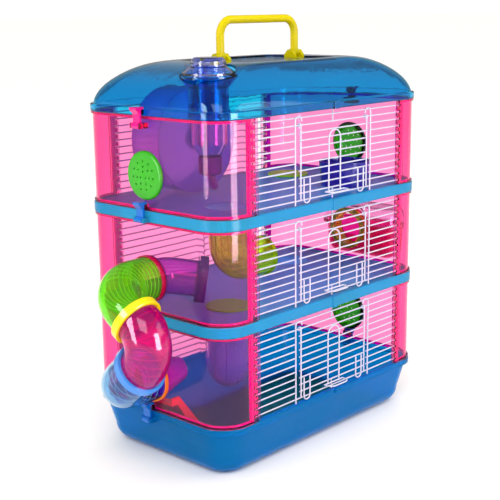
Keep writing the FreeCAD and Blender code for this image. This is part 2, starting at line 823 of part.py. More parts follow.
def make_roof():
    body = new_body("roof")
    rim = new_sketch(body, level=ROOF_BASE)
    rounded_rectangle(rim, "ring_length", "ring_width", "ring_corner")
    pad(body, rim, "roof_rim")
    soften(body, "ring_edge_round", lambda edge: lies_at(ROOF_BASE)(edge) or lies_at(DOME_BASE)(edge))
    loft(body, dome_sections(body, "(0 * dome_wall)", DOME_BASE))
    loft(body, dome_sections(body, "dome_wall", f"{DOME_BASE} - overcut"), "PartDesign::SubtractiveLoft")
    under = new_sketch(body, level=f"{ROOF_BASE} - overcut")
    rounded_rectangle(under, "(ring_length - 2 * dome_inset - 2 * (dome_wall - roof_step))",
                      "(ring_width - 2 * dome_inset - 2 * (dome_wall - roof_step))",
                      "(ring_corner - dome_inset - dome_wall + roof_step)")
    take_away(body, under, length="(roof_rim + overcut)")
    outer = f"{SLEEVE_BORE} + sleeve_wall"
    turn_about_bottle(body, [("-bottle_x", "sleeve_low"),
                             (f"-bottle_x - ({outer})", "sleeve_low"),
                             (f"-bottle_x - ({outer})", "sleeve_flare_low"),
                             ("-bottle_x - flare_out / 2", "sleeve_lip_low"),
                             ("-bottle_x - flare_out / 2", "sleeve_top"),
                             ("-bottle_x", "sleeve_top")], "PartDesign::Revolution")
    turn_about_bottle(body, [("-bottle_x", "sleeve_low - overcut"),
                             (f"-bottle_x - {SLEEVE_BORE}", "sleeve_low - overcut"),
                             (f"-bottle_x - {SLEEVE_BORE}", "sleeve_flare_low + sleeve_wall"),
                             ("-bottle_x - flare_out / 2 + sleeve_wall", "sleeve_lip_low + sleeve_wall"),
                             ("-bottle_x - flare_out / 2 + sleeve_wall", "bottle_top"),
                             ("-bottle_x", "bottle_top")], "PartDesign::Groove")
    backing = new_sketch(body, level=f"{RECESS_FLOOR} - dome_wall")
    rounded_rectangle(backing, "(2 * (recess_half_length + dome_wall))",
                      "(2 * (recess_half_width + dome_wall))", "(recess_corner + dome_wall)")
    pad(body, backing, "(dome_wall + recess_depth / 2)")
    recess = new_sketch(body, level=f"{DOME_TOP} + overcut")
    rounded_rectangle(recess, "(2 * recess_half_length)", "(2 * recess_half_width)", "recess_corner")
    take_away(body, recess, length="(recess_depth + overcut)")
    add_front_tab(body, ROOF_BASE, "roof_rim")
    for side in (-1, 1):
        add_catch(body, side, ROOF_BASE, "(ring_length / 2 - ring_edge_round)")
    return body


# End panels

def make_end_panel(label, side, storey):
    body = new_body(label)
    shell = new_sketch(body)
    rounded_rectangle(shell, WALL_LENGTH, WALL_WIDTH, WALL_CORNER)
    pad(body, shell, "wall_height")
    for low in ("0", "wall_height - panel_flange"):
        flange = new_sketch(body, level=low)
        rounded_rectangle(flange, f"({WALL_LENGTH} + 2 * panel_flange_out)",
                          f"({WALL_WIDTH} + 2 * panel_flange_out)", f"({WALL_CORNER} + panel_flange_out)")
        pad(body, flange, "panel_flange")
    strip = new_sketch(body)
    sign = "" if side > 0 else "-"
    outline(strip, [(f"{sign}seam_half", f"-({WALL_WIDTH} / 2 + strip_out)"),
                    (f"{sign}(seam_half + strip_width)", f"-({WALL_WIDTH} / 2 + strip_out)"),
                    (f"{sign}(seam_half + strip_width)", f"({WALL_WIDTH} / 2 + strip_out)"),
                    (f"{sign}seam_half", f"({WALL_WIDTH} / 2 + strip_out)")])
    pad(body, strip, "wall_height")
    if storey == "upper":
        add_ears(body, side, "wall_height", f"({WALL_FACE} - panel_wall / 2)")
    if not (side > 0 and storey == "middle"):
        add_catch(body, side, "0", f"({WALL_FACE} - panel_wall / 2)")
    hollow = new_sketch(body, level="-overcut")
    rounded_rectangle(hollow, f"({WALL_LENGTH} - 2 * panel_wall)", f"({WALL_WIDTH} - 2 * panel_wall)",
                      f"({WALL_CORNER} - panel_wall)")
    take_away(body, hollow, length="(wall_height + 2 * overcut)")
    other_end = "-ring_length" if side > 0 else "ring_length"
    far = new_sketch(body, level="-overcut")
    outline(far, [(f"{sign}seam_half", "-ring_width"), (other_end, "-ring_width"),
                  (other_end, "ring_width"), (f"{sign}seam_half", "ring_width")])
    take_away(body, far, length="(wall_height + 2 * overcut)")
    slots = new_sketch(body, "XZ_Plane")
    outline(slots, [(f"{sign}(seam_half - overcut)", "wire_low - slot_high / 2"),
                    (f"{sign}(wire_end + slot_end_gap)", "wire_low - slot_high / 2"),
                    (f"{sign}(wire_end + slot_end_gap)", "wire_low + slot_high / 2"),
                    (f"{sign}(seam_half - overcut)", "wire_low + slot_high / 2")])
    cut = take_away(body, slots, length="(ring_width + 2 * overcut)", midplane=True)
    repeat(body, cut, slots, 12, "wire_pitch")
    doc.recompute()
    bore = new_sketch(body, "YZ_Plane", f"{sign}{WALL_FACE}")
    circle(bore, "end_bore", "end_port_y", "end_port_height")
    take_away(body, bore, length="(4 * panel_wall)", midplane=True)
    place(body, z=BASE[storey])
    return body


# Wire fronts, wire backs and doors

POST_LEVEL = "(mesh_depth + wire - wire_lap)"
DOOR_LEVEL = "(mesh_depth + door_stand)"
DOOR_BACK_LEVEL = "(mesh_depth + door_stand - wire + wire_lap)"


def wire_height(index):
    return f"(wire_low + {index} * wire_pitch)"


def make_front_mesh(label, storey):
    body = new_body(label)
    for sign in ("-", "+"):
        post = f"(door_shift {sign} post_half)"
        inward = f"({post} {'+' if sign == '-' else '-'} 2 * post_arch)"
        wire_path(body, POST_LEVEL, [(post, "mesh_foot"), (post, "post_arch_top"),
                                     (inward, "post_arch_top"), (inward, "post_arch_end")],
                  "(post_arch - wire_lap)")
        end = f"{sign if sign == '-' else ''}wire_end"
        low, high = (end, f"{post} + wire") if sign == "-" else (f"{post} - wire", end)
        side_wire = level_wire(body, low, high, "mesh_depth", wire_height(1))
        doc.recompute()
        body.Tip = side_wire
        upright = new_sketch(body, "XZ_Plane")
        repeat(body, side_wire, upright, 9, "wire_pitch")
        doc.recompute()
    for index in (0, 10, 11):
        level_wire(body, "-wire_end", "wire_end", "mesh_depth", wire_height(index))
    stub_level = "(mesh_depth - wire + wire_lap)"
    upright_wire(body, "door_shift", stub_level, "mesh_foot", "stub_low")
    upright_wire(body, "door_shift", stub_level, "stub_high", "mesh_head")
    place(body, z=BASE[storey])
    return body


def make_back_mesh(label, storey):
    body = new_body(label)
    upright_wire(body, "door_shift", "-(mesh_depth - wire + wire_lap)", "mesh_foot", "mesh_head")
    path = new_sketch(body, "XZ_Plane", "-mesh_depth")
    lines = outline(path, [("-wire_end", "wire_low"), ("door_shift - kink_half", "wire_low"),
                           ("door_shift", "wire_low - kink_drop"),
                           ("door_shift + kink_half", "wire_low"), ("wire_end", "wire_low")], closed=False)
    ring = new_sketch(body, "YZ_Plane", "-wire_end")
    circle(ring, "wire", "mesh_depth", "wire_low")
    kinked = pipe(body, ring, path, corners="Right corner")
    doc.recompute()
    body.Tip = kinked
    repeat(body, kinked, path, 12, "wire_pitch")
    place(body, z=BASE[storey])
    return body


def make_door(label, storey):
    """A door about its own origin, which is the hinge line at the door's middle."""
    body = new_body(label)
    drop = f"- {HINGE_UP}"
    stand = "door_stand"
    back = "(door_stand - wire + wire_lap)"
    eye_mid = "(wire / 2 + fit_gap)"
    for sign in ("-", ""):
        x = f"{sign}door_half"
        eye = new_sketch(body, "YZ_Plane", x)
        circle(eye, f"(2 * ({eye_mid} + wire))")
        circle(eye, f"(2 * {eye_mid})")
        pad(body, eye, "eye_long", midplane=True)
        upright_wire(body, x, stand, f"door_foot {drop}", "0 * wire")
        hairpin = f"({sign}hairpin_x)"
        wire_path(body, stand, [(f"{hairpin} - hairpin_half", f"hairpin_rise {drop}"),
                                (f"{hairpin} - hairpin_half", f"hairpin_foot {drop}"),
                                (f"{hairpin} + hairpin_half", f"hairpin_foot {drop}"),
                                (f"{hairpin} + hairpin_half", f"hairpin_rise {drop}")], "hairpin_corner")
    wire_path(body, stand, [("-middle_wire_half", f"middle_wire_foot {drop}"),
                            ("-middle_wire_half", f"middle_wire_top {drop}"),
                            ("middle_wire_half", f"middle_wire_top {drop}"),
                            ("middle_wire_half", f"middle_wire_foot {drop}")], "middle_wire_corner")
    doc.recompute()
    first = level_wire(body, "-(door_half + door_wire_over)", "door_half + door_wire_over", back,
                       f"wire_low + wire_pitch {drop}")
    doc.recompute()
    body.Tip = first
    along = new_sketch(body, "XZ_Plane")
    repeat(body, first, along, 9, "wire_pitch")
    doc.recompute()
    level_wire(body, "-latch_half", "latch_half", stand, f"latch_up {drop}")
    loop = new_sketch(body, level=f"latch_up {drop}")
    spine(loop, [("-latch_half", f"-{stand}"), ("-latch_half", f"-({stand} + latch_out)"),
                 ("latch_half", f"-({stand} + latch_out)"), ("latch_half", f"-{stand}")], "latch_corner")
    ring = new_sketch(body, "XZ_Plane", stand)
    circle(ring, "wire", "-latch_half", f"latch_up {drop}")
    pipe(body, ring, loop)
    place(body, "door_shift", "-mesh_depth", f"{BASE[storey]} + {HINGE_UP}")
    return body


# Carrying handle

PIVOT_Z = f"({RECESS_FLOOR} + handle_pivot_up)"


def make_handle():
    body = new_body("carry_handle")
    path = new_sketch(body, "XZ_Plane")
    spine(path, [("-handle_half", "0"), ("-handle_half", f"handle_top - {PIVOT_Z}"),
                 ("handle_half", f"handle_top - {PIVOT_Z}"), ("handle_half", "0")], "handle_corner")
    ring = new_sketch(body)
    circle(ring, "handle_bar", "-handle_half")
    pipe(body, ring, path)
    for sign in ("-", ""):
        boss = new_sketch(body, "YZ_Plane", f"{sign}handle_half")
        circle(boss, "handle_bar")
        pad(body, boss, "handle_bar", midplane=True)
    bore = new_sketch(body, "YZ_Plane")
    circle(bore, "(pivot_pin + 2 * fit_gap)")
    take_away(body, bore, length="(2 * handle_half + 2 * handle_bar)", midplane=True)
    place(body, z=PIVOT_Z)
    return body


def make_bracket(label, sign):
    """Two ears with a pin between them, on a base plate."""
    body = new_body(label)
    width = "(handle_bar + 2 * seat_gap + 2 * bracket_ear)"
    block = new_sketch(body, "YZ_Plane")
    outline(block, [("-bracket_depth / 2", "-handle_pivot_up"),
                    ("bracket_depth / 2", "-handle_pivot_up"),
                    ("bracket_depth / 2", "-handle_pivot_up / 2"),
                    ("bracket_ear_top", "bracket_ear_top"),
                    ("-bracket_ear_top", "bracket_ear_top"),
                    ("-bracket_depth / 2", "-handle_pivot_up / 2")])
    pad(body, block, width, midplane=True)
    gap = new_sketch(body, "YZ_Plane")
    outline(gap, [("-bracket_depth", "bracket_base - handle_pivot_up"),
                  ("bracket_depth", "bracket_base - handle_pivot_up"),
                  ("bracket_depth", "bracket_depth"),
                  ("-bracket_depth", "bracket_depth")])
    take_away(body, gap, length="(handle_bar + 2 * seat_gap)", midplane=True)
    pin = new_sketch(body, "YZ_Plane")
    circle(pin, "pivot_pin")
    pad(body, pin, "(handle_bar + 2 * seat_gap + bracket_ear)", midplane=True)
    place(body, f"{sign}handle_half", z=PIVOT_Z)
    return body


# Outside tubes

UPPER_RUN = "sqrt(tube_front ^ 2 + tube_fall ^ 2)"
LOWER_RUN = f"sqrt(tube_front ^ 2 + ({STOREY_STEP} - tube_fall) ^ 2)"
RUN_TURN = f"(atan(tube_front / tube_fall) + atan(tube_front / ({STOREY_STEP} - tube_fall)))"
SQUARE_TURN = "(90 * 1deg)"
PORT_Z = {name: f"({BASE[name]} + end_port_height)" for name in STOREYS}
CORNER_X = f"-({WALL_FACE} + tube_reach)"


def run_direction(storey):
    """The way the tube run heads from its upper or lower corner."""
    fall = number("tube_fall" if storey == "middle" else f"{STOREY_STEP} - tube_fall")
    way = vector(0, -number("tube_front"), -fall if storey == "middle" else fall)
    return way.normalize()


def make_outside_elbow(label, storey):
    run = UPPER_RUN if storey == "middle" else LOWER_RUN
    body = elbow(label, "tube_reach", f"({run} - tube_leg)", "tube_bend", SQUARE_TURN,
                 "tube_out", "tube_wall")
    way = run_direction(storey)
    place(body, CORNER_X, "end_port_y", PORT_Z[storey],
          FreeCAD.Rotation(vector(-1, 0, 0), way, vector(-1, 0, 0).cross(way), "XYZ"))
    return body


def make_bend():
    body = elbow("bend_magenta", "tube_leg", "tube_leg", "tube_turn_bend", RUN_TURN,
                 "tube_out", "tube_wall")
    coming = run_direction("middle")
    leaving = run_direction("lower") * -1
    across = coming.cross(leaving).normalize()
    place(body, CORNER_X, "end_port_y - tube_front", f"{PORT_Z['middle']} - tube_fall",
          FreeCAD.Rotation(coming, across.cross(coming), across, "XYZ"))
    return body


def ring_piece(label, outer, inner, long):
    body = new_body(label)
    face = new_sketch(body)
    circle(face, outer)
    circle(face, inner)
    pad(body, face, long)
    soften(body, "(collar_long / 16)", lambda edge: lies_at("0")(edge) or lies_at(long)(edge),
           "PartDesign::Chamfer")
    return body


def make_collar(label, storey):
    """A collar over the joint between an outside elbow and the bend."""
    body = ring_piece(label, "collar_out", "(tube_out + 2 * fit_gap)", "collar_long")
    run = UPPER_RUN if storey == "middle" else LOWER_RUN
    fall = "tube_fall" if storey == "middle" else f"({STOREY_STEP} - tube_fall)"
    sense = "-" if storey == "middle" else "+"
    along = f"(1 - (tube_leg + collar_long - collar_reach) / {run})"
    place(body, CORNER_X, f"end_port_y - tube_front * {along}",
          f"{PORT_Z[storey]} {sense} {fall} * {along}",
          FreeCAD.Rotation(vector(0, 0, 1), run_direction(storey)))
    return body


def make_end_ring(label, storey):
    body = ring_piece(label, "end_ring_out", "(tube_out + 2 * fit_gap)", "end_ring_long")
    place(body, f"-{WALL_FACE}", "end_port_y", PORT_Z[storey],
          FreeCAD.Rotation(vector(0, 0, 1), vector(-1, 0, 0)))
    return body


# Tube, funnel and slide inside the left end

INNER_FACE = f"({WALL_FACE} - panel_wall)"


def inner_tube_way():
    """The direction in which the inner tube leaves its bend, towards the front and down."""
    turn = math.radians(number("inner_tube_turn"))
    droop = math.radians(number("inner_tube_droop"))
    side = vector(0, -math.cos(droop), -math.sin(droop))
    return vector(math.cos(turn), 0, 0) + side * math.sin(turn), side


def make_inner_tube():
    body = elbow("inner_tube", "inner_tube_first", "inner_tube_second", "inner_tube_bend",
                 "(inner_tube_turn * 1deg)", "inner_tube_out", "tube_wall")
    flange = new_sketch(body, "YZ_Plane", "-inner_tube_first")
    circle(flange, "(end_bore + 2 * inner_flange_reach)")
    circle(flange, "(inner_tube_out - 2 * tube_wall)")
    pad(body, flange, "tube_wall")
    spigot = new_sketch(body, "YZ_Plane", "-(inner_tube_first + panel_wall)")
    circle(spigot, "(end_bore - 2 * fit_gap)")
    circle(spigot, "(end_bore - 2 * fit_gap - 2 * tube_wall)")
    pad(body, spigot, "(panel_wall + tube_wall)")
    side = inner_tube_way()[1]
    place(body, f"-{INNER_FACE} + inner_tube_first", "end_port_y", PORT_Z["middle"],
          FreeCAD.Rotation(vector(1, 0, 0), side, vector(1, 0, 0).cross(side), "XYZ"))
    return body


def make_inner_collar():
    body = new_body("inner_tube_collar")
    face = new_sketch(body)
    rounded_rectangle(face, "inner_collar_side", "inner_collar_side", "inner_collar_corner")
    circle(face, "(inner_tube_out + 2 * fit_gap)")
    pad(body, face, "inner_collar_long")
    way, side = inner_tube_way()
    turn, droop = "(inner_tube_turn * 1deg)", "(inner_tube_droop * 1deg)"
    along = "(inner_tube_second - inner_collar_long / 2)"
    place(body, f"-{INNER_FACE} + inner_tube_first + {along} * cos({turn})",
          f"end_port_y - {along} * sin({turn}) * cos({droop})",
          f"{PORT_Z['middle']} - {along} * sin({turn}) * sin({droop})",
          FreeCAD.Rotation(side.cross(way), side.cross(way).cross(way) * -1, way, "ZXY"))
    return body


def make_funnel():
    body = turned("inner_funnel", [("end_bore / 2 - tube_wall", "0"),
                                   ("end_bore / 2 + tube_wall", "0"),
                                   ("funnel_tip / 2 + tube_wall", "funnel_long"),
                                   ("funnel_tip / 2", "funnel_long")])
    place(body, f"-{INNER_FACE}", "end_port_y", PORT_Z["lower"],
          FreeCAD.Rotation(vector(0, 0, 1), vector(1, 0, 0)))
    return body


def make_slide():
    body = new_body("port_slide")
    side_wall = new_sketch(body, "XZ_Plane", "-end_port_y")
    outline(side_wall, [("-slide_top_x", "slide_top - slide_wall"),
                        ("-slide_top_x", "slide_top + slide_side"),
                        ("-slide_top_x + slide_ledge", "slide_top + slide_side"),
                        ("-slide_foot_x", "slide_foot + 2 * slide_side"),
                        ("-slide_foot_x", "slide_foot"),
                        ("-slide_foot_x - slide_side", "slide_foot"),
                        ("-slide_top_x + slide_ledge - slide_wall", "slide_top - slide_wall")])
    pad(body, side_wall, "slide_width", midplane=True)
    channel = new_sketch(body, "XZ_Plane", "-end_port_y")
    outline(channel, [("-slide_top_x - overcut", "slide_top"),
                      ("-slide_top_x - overcut", "slide_top + 2 * slide_side"),
                      ("-slide_foot_x + overcut", "slide_top + 2 * slide_side"),
                      ("-slide_foot_x + overcut", "slide_foot + slide_wall"),
                      ("-slide_foot_x - slide_side", "slide_foot + slide_wall"),
                      ("-slide_top_x + slide_ledge", "slide_top")])
    take_away(body, channel, length="(slide_width - 2 * slide_wall)", midplane=True)
    return body


# Chutes under the decks

def make_chute(label, deck_base, drop, leg, bend, outer, flange, heading):
    body = elbow(label, f"({drop} - chute_flange_high)", leg, bend, SQUARE_TURN, outer, "tube_wall")
    collar = new_sketch(body, "YZ_Plane", f"-{drop}")
    circle(collar, flange)
    circle(collar, f"({outer} - 2 * tube_wall)")
    pad(body, collar, "(2 * chute_flange_high)")
    lip = new_sketch(body, "XZ_Plane", f"-{leg}")
    circle(lip, f"({outer} + 2 * tube_wall)")
    circle(lip, f"({outer} - 2 * tube_wall)")
    pad(body, lip, "(2 * chute_flange_high)", down=False)
    turn = math.radians(heading)
    way = vector(math.cos(turn), math.sin(turn), 0)
    place(body, "-port_x", "-port_y", f"{deck_base} - {drop}",
          FreeCAD.Rotation(vector(0, 0, -1), way, vector(0, 0, -1).cross(way), "XYZ"))
    return body


# Vent caps

def make_cap(label, side, storey):
    spigot = "(end_bore / 2 - fit_gap)"
    under = "(cap_edge - cap_thick)"
    body = turned(label, [("0", under),
                          (f"{spigot} - cap_spigot_wall", f"{under} - cap_crown"),
                          (f"{spigot} - cap_spigot_wall", "-cap_spigot"),
                          (spigot, "-cap_spigot"),
                          (spigot, "0"),
                          ("cap_out / 2", "0"),
                          ("cap_out / 2", "cap_edge - cap_crown"),
                          ("0", "cap_edge")])
    soften(body, "cap_round", lies_at("cap_edge - cap_crown"))
    for count, ring in ((3, "cap_inner_ring"), (7, "cap_middle_ring"), (11, "cap_outer_ring")):
        hole = new_sketch(body, level="-overcut")
        circle(hole, "cap_hole", ring)
        cut = take_away(body, hole, length="(cap_edge + 2 * overcut)")
        round_about(body, cut, hole, count)
        doc.recompute()
    sign = "" if side > 0 else "-"
    place(body, f"{sign}{WALL_FACE}", "end_port_y", PORT_Z[storey],
          FreeCAD.Rotation(vector(0, 0, 1), vector(side, 0, 0)))
    return body


# Nest pod and the ring that holds it

POD_IN = f"({WALL_FACE} + pod_stand)"
POD_MID = f"({POD_IN} + pod_depth / 2)"


def pod_section(body, level, drawn):
    section = new_sketch(body, level=level)
    rounded_rectangle(section, f"(pod_depth - 2 * ({drawn}))", f"(pod_width - 2 * ({drawn}))",
                      f"(pod_corner - pod_corner_share * ({drawn}))")
    return section


def make_pod_base():
    body = new_body("pod_base")
    high = "(pod_below + pod_split)"
    for wall, top, kind in (("(0 * pod_wall)", high, "PartDesign::AdditiveLoft"),
                            ("pod_wall", f"({high} + overcut)", "PartDesign::SubtractiveLoft")):
        drawn = f"(pod_taper + {wall})"
        bend = f"(pod_foot_round - {wall})"
        loft(body, [pod_section(body, wall, f"{drawn} + pod_foot_share * {bend}"),
                    pod_section(body, f"{wall} + pod_bend_rise_share * {bend}",
                                f"{drawn} + pod_bend_draw_share * {bend}"),
                    pod_section(body, f"{wall} + (pod_foot_round - {wall})", f"{drawn} - pod_taper / 6"),
                    pod_section(body, top, wall)], kind)
        doc.recompute()
        if kind.endswith("AdditiveLoft"):
            brim = new_sketch(body, level=f"{high} - pod_rim_high")
            rounded_rectangle(brim, "(pod_depth + 2 * pod_rim_out)", "(pod_width + 2 * pod_rim_out)",
                              "(pod_corner + pod_rim_out)")
            pad(body, brim, "pod_rim_high")
            plate = new_sketch(body, "YZ_Plane", "-pod_depth / 2")
            circle(plate, "(end_bore + 2 * pod_wall)", "end_port_y - pod_y", "pod_below")
            pad(body, plate, "pod_wall")
    bore = new_sketch(body, "YZ_Plane", "-pod_depth / 2")
    circle(bore, "end_bore", "end_port_y - pod_y", "pod_below")
    take_away(body, bore, length="(6 * pod_wall)", midplane=True)
    place(body, POD_MID, "pod_y", f"{PORT_Z['middle']} - pod_below")
    return body


def make_pod_lid():
    body = new_body("pod_lid")
    low = "(pod_below + pod_split + seat_gap)"
    high = "(pod_below + pod_above)"
    for wall, start, kind in (("(0 * pod_wall)", low, "PartDesign::AdditiveLoft"),
                              ("pod_wall", f"({low} - overcut)", "PartDesign::SubtractiveLoft")):
        rise = f"({high} - {low} - {wall})"
        loft(body, [pod_section(body, start, f"{wall} - pod_rim_out / 2"),
                    pod_section(body, f"{low} + pod_side_share * {rise}", f"{wall} + pod_taper / 6"),
                    pod_section(body, f"{low} + pod_shoulder_share * {rise}", f"{wall} + pod_taper / 2"),
                    pod_section(body, f"{low} + {rise}", f"{wall} + pod_taper")], kind)
        doc.recompute()
        if kind.endswith("AdditiveLoft"):
            brim = new_sketch(body, level=low)
            rounded_rectangle(brim, "(pod_depth + 2 * pod_rim_out)", "(pod_width + 2 * pod_rim_out)",
                              "(pod_corner + pod_rim_out)")
            pad(body, brim, "(pod_rim_high / 2)")
    gap = new_sketch(body, "YZ_Plane", "-pod_depth / 2")
    circle(gap, "(end_bore + 2 * pod_wall + 4 * seat_gap)", "end_port_y - pod_y", "pod_below")
    take_away(body, gap, length="(8 * pod_wall)", midplane=True)
    place(body, POD_MID, "pod_y", f"{PORT_Z['middle']} - pod_below")
    return body


def make_pod_ring():
    spigot = "(end_bore / 2 - fit_gap)"
    body = turned("port_ring_yellow", [("pod_ring_bore / 2", "-pod_ring_flange"),
                                       ("pod_ring_out / 2", "-pod_ring_flange"),
                                       ("pod_ring_out / 2", "0"),
                                       (spigot, "0"),
                                       (spigot, "panel_wall + pod_stand + pod_wall"),
                                       ("pod_ring_bore / 2", "panel_wall + pod_stand + pod_wall")])
    place(body, INNER_FACE, "end_port_y", PORT_Z["middle"],
          FreeCAD.Rotation(vector(0, 0, 1), vector(1, 0, 0)))
    return body


# Exercise wheel on its hanger

WHEEL_Z = f"({BASE['upper']} + wheel_lift + wheel_out / 2)"
ALONG_Y = FreeCAD.Rotation(vector(1, 0, 0), -90)


def make_wheel():
    body = turned("exercise_wheel", [("wheel_axle / 2 + fit_gap", "0"),
                                     ("wheel_out / 2", "0"),
                                     ("wheel_out / 2", "wheel_deep"),
                                     ("wheel_out / 2 - wheel_rim", "wheel_deep"),
                                     ("wheel_out / 2 - wheel_rim", "wheel_deep - wheel_wall"),
                                     ("wheel_out / 2 - wheel_wall", "wheel_deep - wheel_wall"),
                                     ("wheel_out / 2 - wheel_wall", "wheel_wall"),
                                     ("wheel_hub / 2", "wheel_wall"),
                                     ("wheel_hub / 2", "wheel_hub_long"),
                                     ("wheel_axle / 2 + fit_gap", "wheel_hub_long")])
    place(body, "-wheel_x", "wheel_front", WHEEL_Z, ALONG_Y)
    return body


def make_axle():
    back = "(wheel_hub_long + seat_gap)"
    front = "(hanger_gap + hanger_thick + axle_knob_long / 2)"
    body = turned("wheel_axle", [("0", f"-{front}"),
                                 ("axle_knob / 2", f"-{front}"),
                                 ("axle_knob / 2", "-(hanger_gap + hanger_thick)"),
                                 ("wheel_axle / 2", "-(hanger_gap + hanger_thick)"),
                                 ("wheel_axle / 2", back),
                                 ("axle_knob / 2", back),
                                 ("axle_knob / 2", f"{back} + axle_knob_long"),
                                 ("0", f"{back} + axle_knob_long")])
    place(body, "-wheel_x", "wheel_front", WHEEL_Z, ALONG_Y)
    return body


def make_hanger():
    body = new_body("wheel_hanger")
    top = f"({RECESS_FLOOR} - dome_wall - {WHEEL_Z})"
    arm = new_sketch(body, "XZ_Plane", "hanger_gap")
    outline(arm, [("-hanger_width / 2", "0"), ("hanger_width / 2", "0"),
                  ("hanger_width / 2", top), ("-hanger_width / 2", top)])
    pad(body, arm, "hanger_thick")
    end = new_sketch(body, "XZ_Plane", "hanger_gap")
    circle(end, "hanger_width")
    pad(body, end, "hanger_thick")
    foot = new_sketch(body, level=f"{top} - hanger_foot")
    rounded_rectangle(foot, "hanger_width", "hanger_foot_deep", "hanger_gap",
                      "0", "(hanger_foot_deep / 2 - hanger_gap - hanger_thick)")
    pad(body, foot, "hanger_foot")
    bore = new_sketch(body, "XZ_Plane", "hanger_gap")
    circle(bore, "(wheel_axle + fit_gap)")
    take_away(body, bore, length="(4 * hanger_thick)", midplane=True)
    place(body, "-wheel_x", "wheel_front", WHEEL_Z)
    return body


# Water bottle

def place_on_bottle(body, up, rotation=None):
    place(body, "-bottle_x", "-bottle_y", up, rotation)


def make_bottle():
    inside = "(bottle_out / 2 - bottle_wall)"
    brim = "(sleeve_top + bottle_brim_gap)"
    brim_radius = "(flare_out / 2 - sleeve_wall - bottle_brim_side_gap)"
    body = turned("water_bottle", [("bottle_neck_out / 2 - bottle_wall", "bottle_neck"),
                                   ("bottle_neck_out / 2", "bottle_neck"),
                                   ("bottle_out / 2", "bottle_shoulder"),
                                   ("bottle_out / 2", "bottle_collar_low"),
                                   ("bottle_collar_out / 2", "bottle_collar_low"),
                                   ("bottle_collar_out / 2", "bottle_collar_low + bottle_collar_high"),
                                   ("bottle_out / 2", "bottle_collar_low + bottle_collar_high"),
                                   ("bottle_out / 2", f"{brim} + bottle_brim_rise - bottle_skirt"),
                                   (f"{brim_radius} - bottle_brim_wall", brim),
                                   (brim_radius, brim),
                                   (brim_radius, f"{brim} + bottle_brim_high"),
                                   ("bottle_out / 2", f"{brim} + bottle_brim_rise"),
                                   ("bottle_out / 2", "bottle_top - bottle_top_round"),
                                   ("bottle_out / 2 - bottle_top_round", "bottle_top"),
                                   ("0", "bottle_top"),
                                   ("0", "bottle_top - bottle_top_round"),
                                   (f"{inside} - bottle_wall", "bottle_top - bottle_top_round"),
                                   (inside, "bottle_top - 2 * bottle_top_round"),
                                   (inside, "bottle_shoulder")])
    place_on_bottle(body, "0 * bottle_x")
    return body


def make_bottle_cap():
    hole = "(nozzle_out / 2 + 3 * seat_gap)"
    body = turned("bottle_cap", [(hole, "0"),
                                 ("bottle_cap_out / 2 - bottle_cap_round", "0"),
                                 ("bottle_cap_out / 2", "bottle_cap_round"),
                                 ("bottle_cap_out / 2", "bottle_cap_high"),
                                 ("bottle_neck_out / 2 - bottle_wall", "bottle_cap_high"),
                                 (hole, "bottle_cap_high - 2 * bottle_cap_round")])
    place_on_bottle(body, "bottle_neck - bottle_cap_high")
    return body


def nozzle_way():
    lean = math.radians(number("nozzle_lean"))
    return vector(math.sin(lean), 0, -math.cos(lean))


def make_nozzle():
    body = turned("bottle_nozzle", [("nozzle_bore / 2", "-nozzle_root"),
                                    ("nozzle_out / 2", "-nozzle_root"),
                                    ("nozzle_out / 2", "nozzle_long - nozzle_root"),
                                    ("nozzle_bore / 2 + wire_lap", "nozzle_long"),
                                    ("nozzle_bore / 2", "nozzle_long")])
    place_on_bottle(body, "bottle_neck - bottle_cap_high",
                    FreeCAD.Rotation(vector(0, 0, 1), nozzle_way()))
    return body


def make_ball():
    ball = doc.addObject("Part::Sphere", "nozzle_ball")
    ball.setExpression("Radius", linked("nozzle_ball / 2"))
    lean = "(nozzle_lean * 1deg)"
    place(ball, f"-bottle_x + nozzle_long * sin({lean})", "-bottle_y",
          f"bottle_neck - bottle_cap_high - nozzle_long * cos({lean})")
    return ball


# Food dish

def make_dish():
    body = turned("food_dish", [("0", "seat_gap"),
                                ("dish_foot / 2", "seat_gap"),
                                ("dish_out / 2", "dish_high"),
                                ("dish_out / 2 - dish_wall", "dish_high"),
                                ("dish_foot / 2 - dish_wall", "seat_gap + dish_wall"),
                                ("0", "seat_gap + dish_wall")])
    place(body, "dish_x", "-dish_y", BASE["upper"])
    return body


# Make every piece

DECK_BASE = {"lower": f"({BASE['lower']} + wall_height)", "upper": f"({BASE['middle']} + wall_height)"}
JOINTS = {"tray": "tray_height", "deck_lower": f"({DECK_BASE['lower']} + ring_height)",
          "deck_upper": f"({DECK_BASE['upper']} + ring_height)", "roof": ROOF_BASE}

make_tray()
make_deck("deck_lower", DECK_BASE["lower"], False)
make_deck("deck_upper", DECK_BASE["upper"], True)
make_roof()
for storey in STOREYS:
    make_end_panel(f"left_end_panel_{storey}", -1, storey)
    make_end_panel(f"right_end_panel_{storey}", 1, storey)
    make_front_mesh(f"front_mesh_{storey}", storey)
    make_back_mesh(f"back_mesh_{storey}", storey)
    make_door(f"door_{storey}", storey)
make_handle()
make_bracket("handle_bracket_left", "-")
make_bracket("handle_bracket_right", "")
for name, joint in JOINTS.items():
    make_clip(f"clip_left_{name}", -1, joint)
    if name != "deck_lower":
        make_clip(f"clip_right_{name}", 1, joint)
make_outside_elbow("elbow_green", "middle")
make_outside_elbow("elbow_blue", "lower")
make_bend()
make_collar("collar_yellow", "middle")
make_collar("collar_blue", "lower")
make_end_ring("port_ring_red", "middle")
make_end_ring("port_ring_orange", "lower")
make_inner_tube()
make_inner_collar()
make_funnel()
make_slide()
make_chute("chute_elbow_lime", DECK_BASE["upper"], "chute_drop", "chute_leg", "chute_bend",
           "chute_out", "chute_flange", 0)
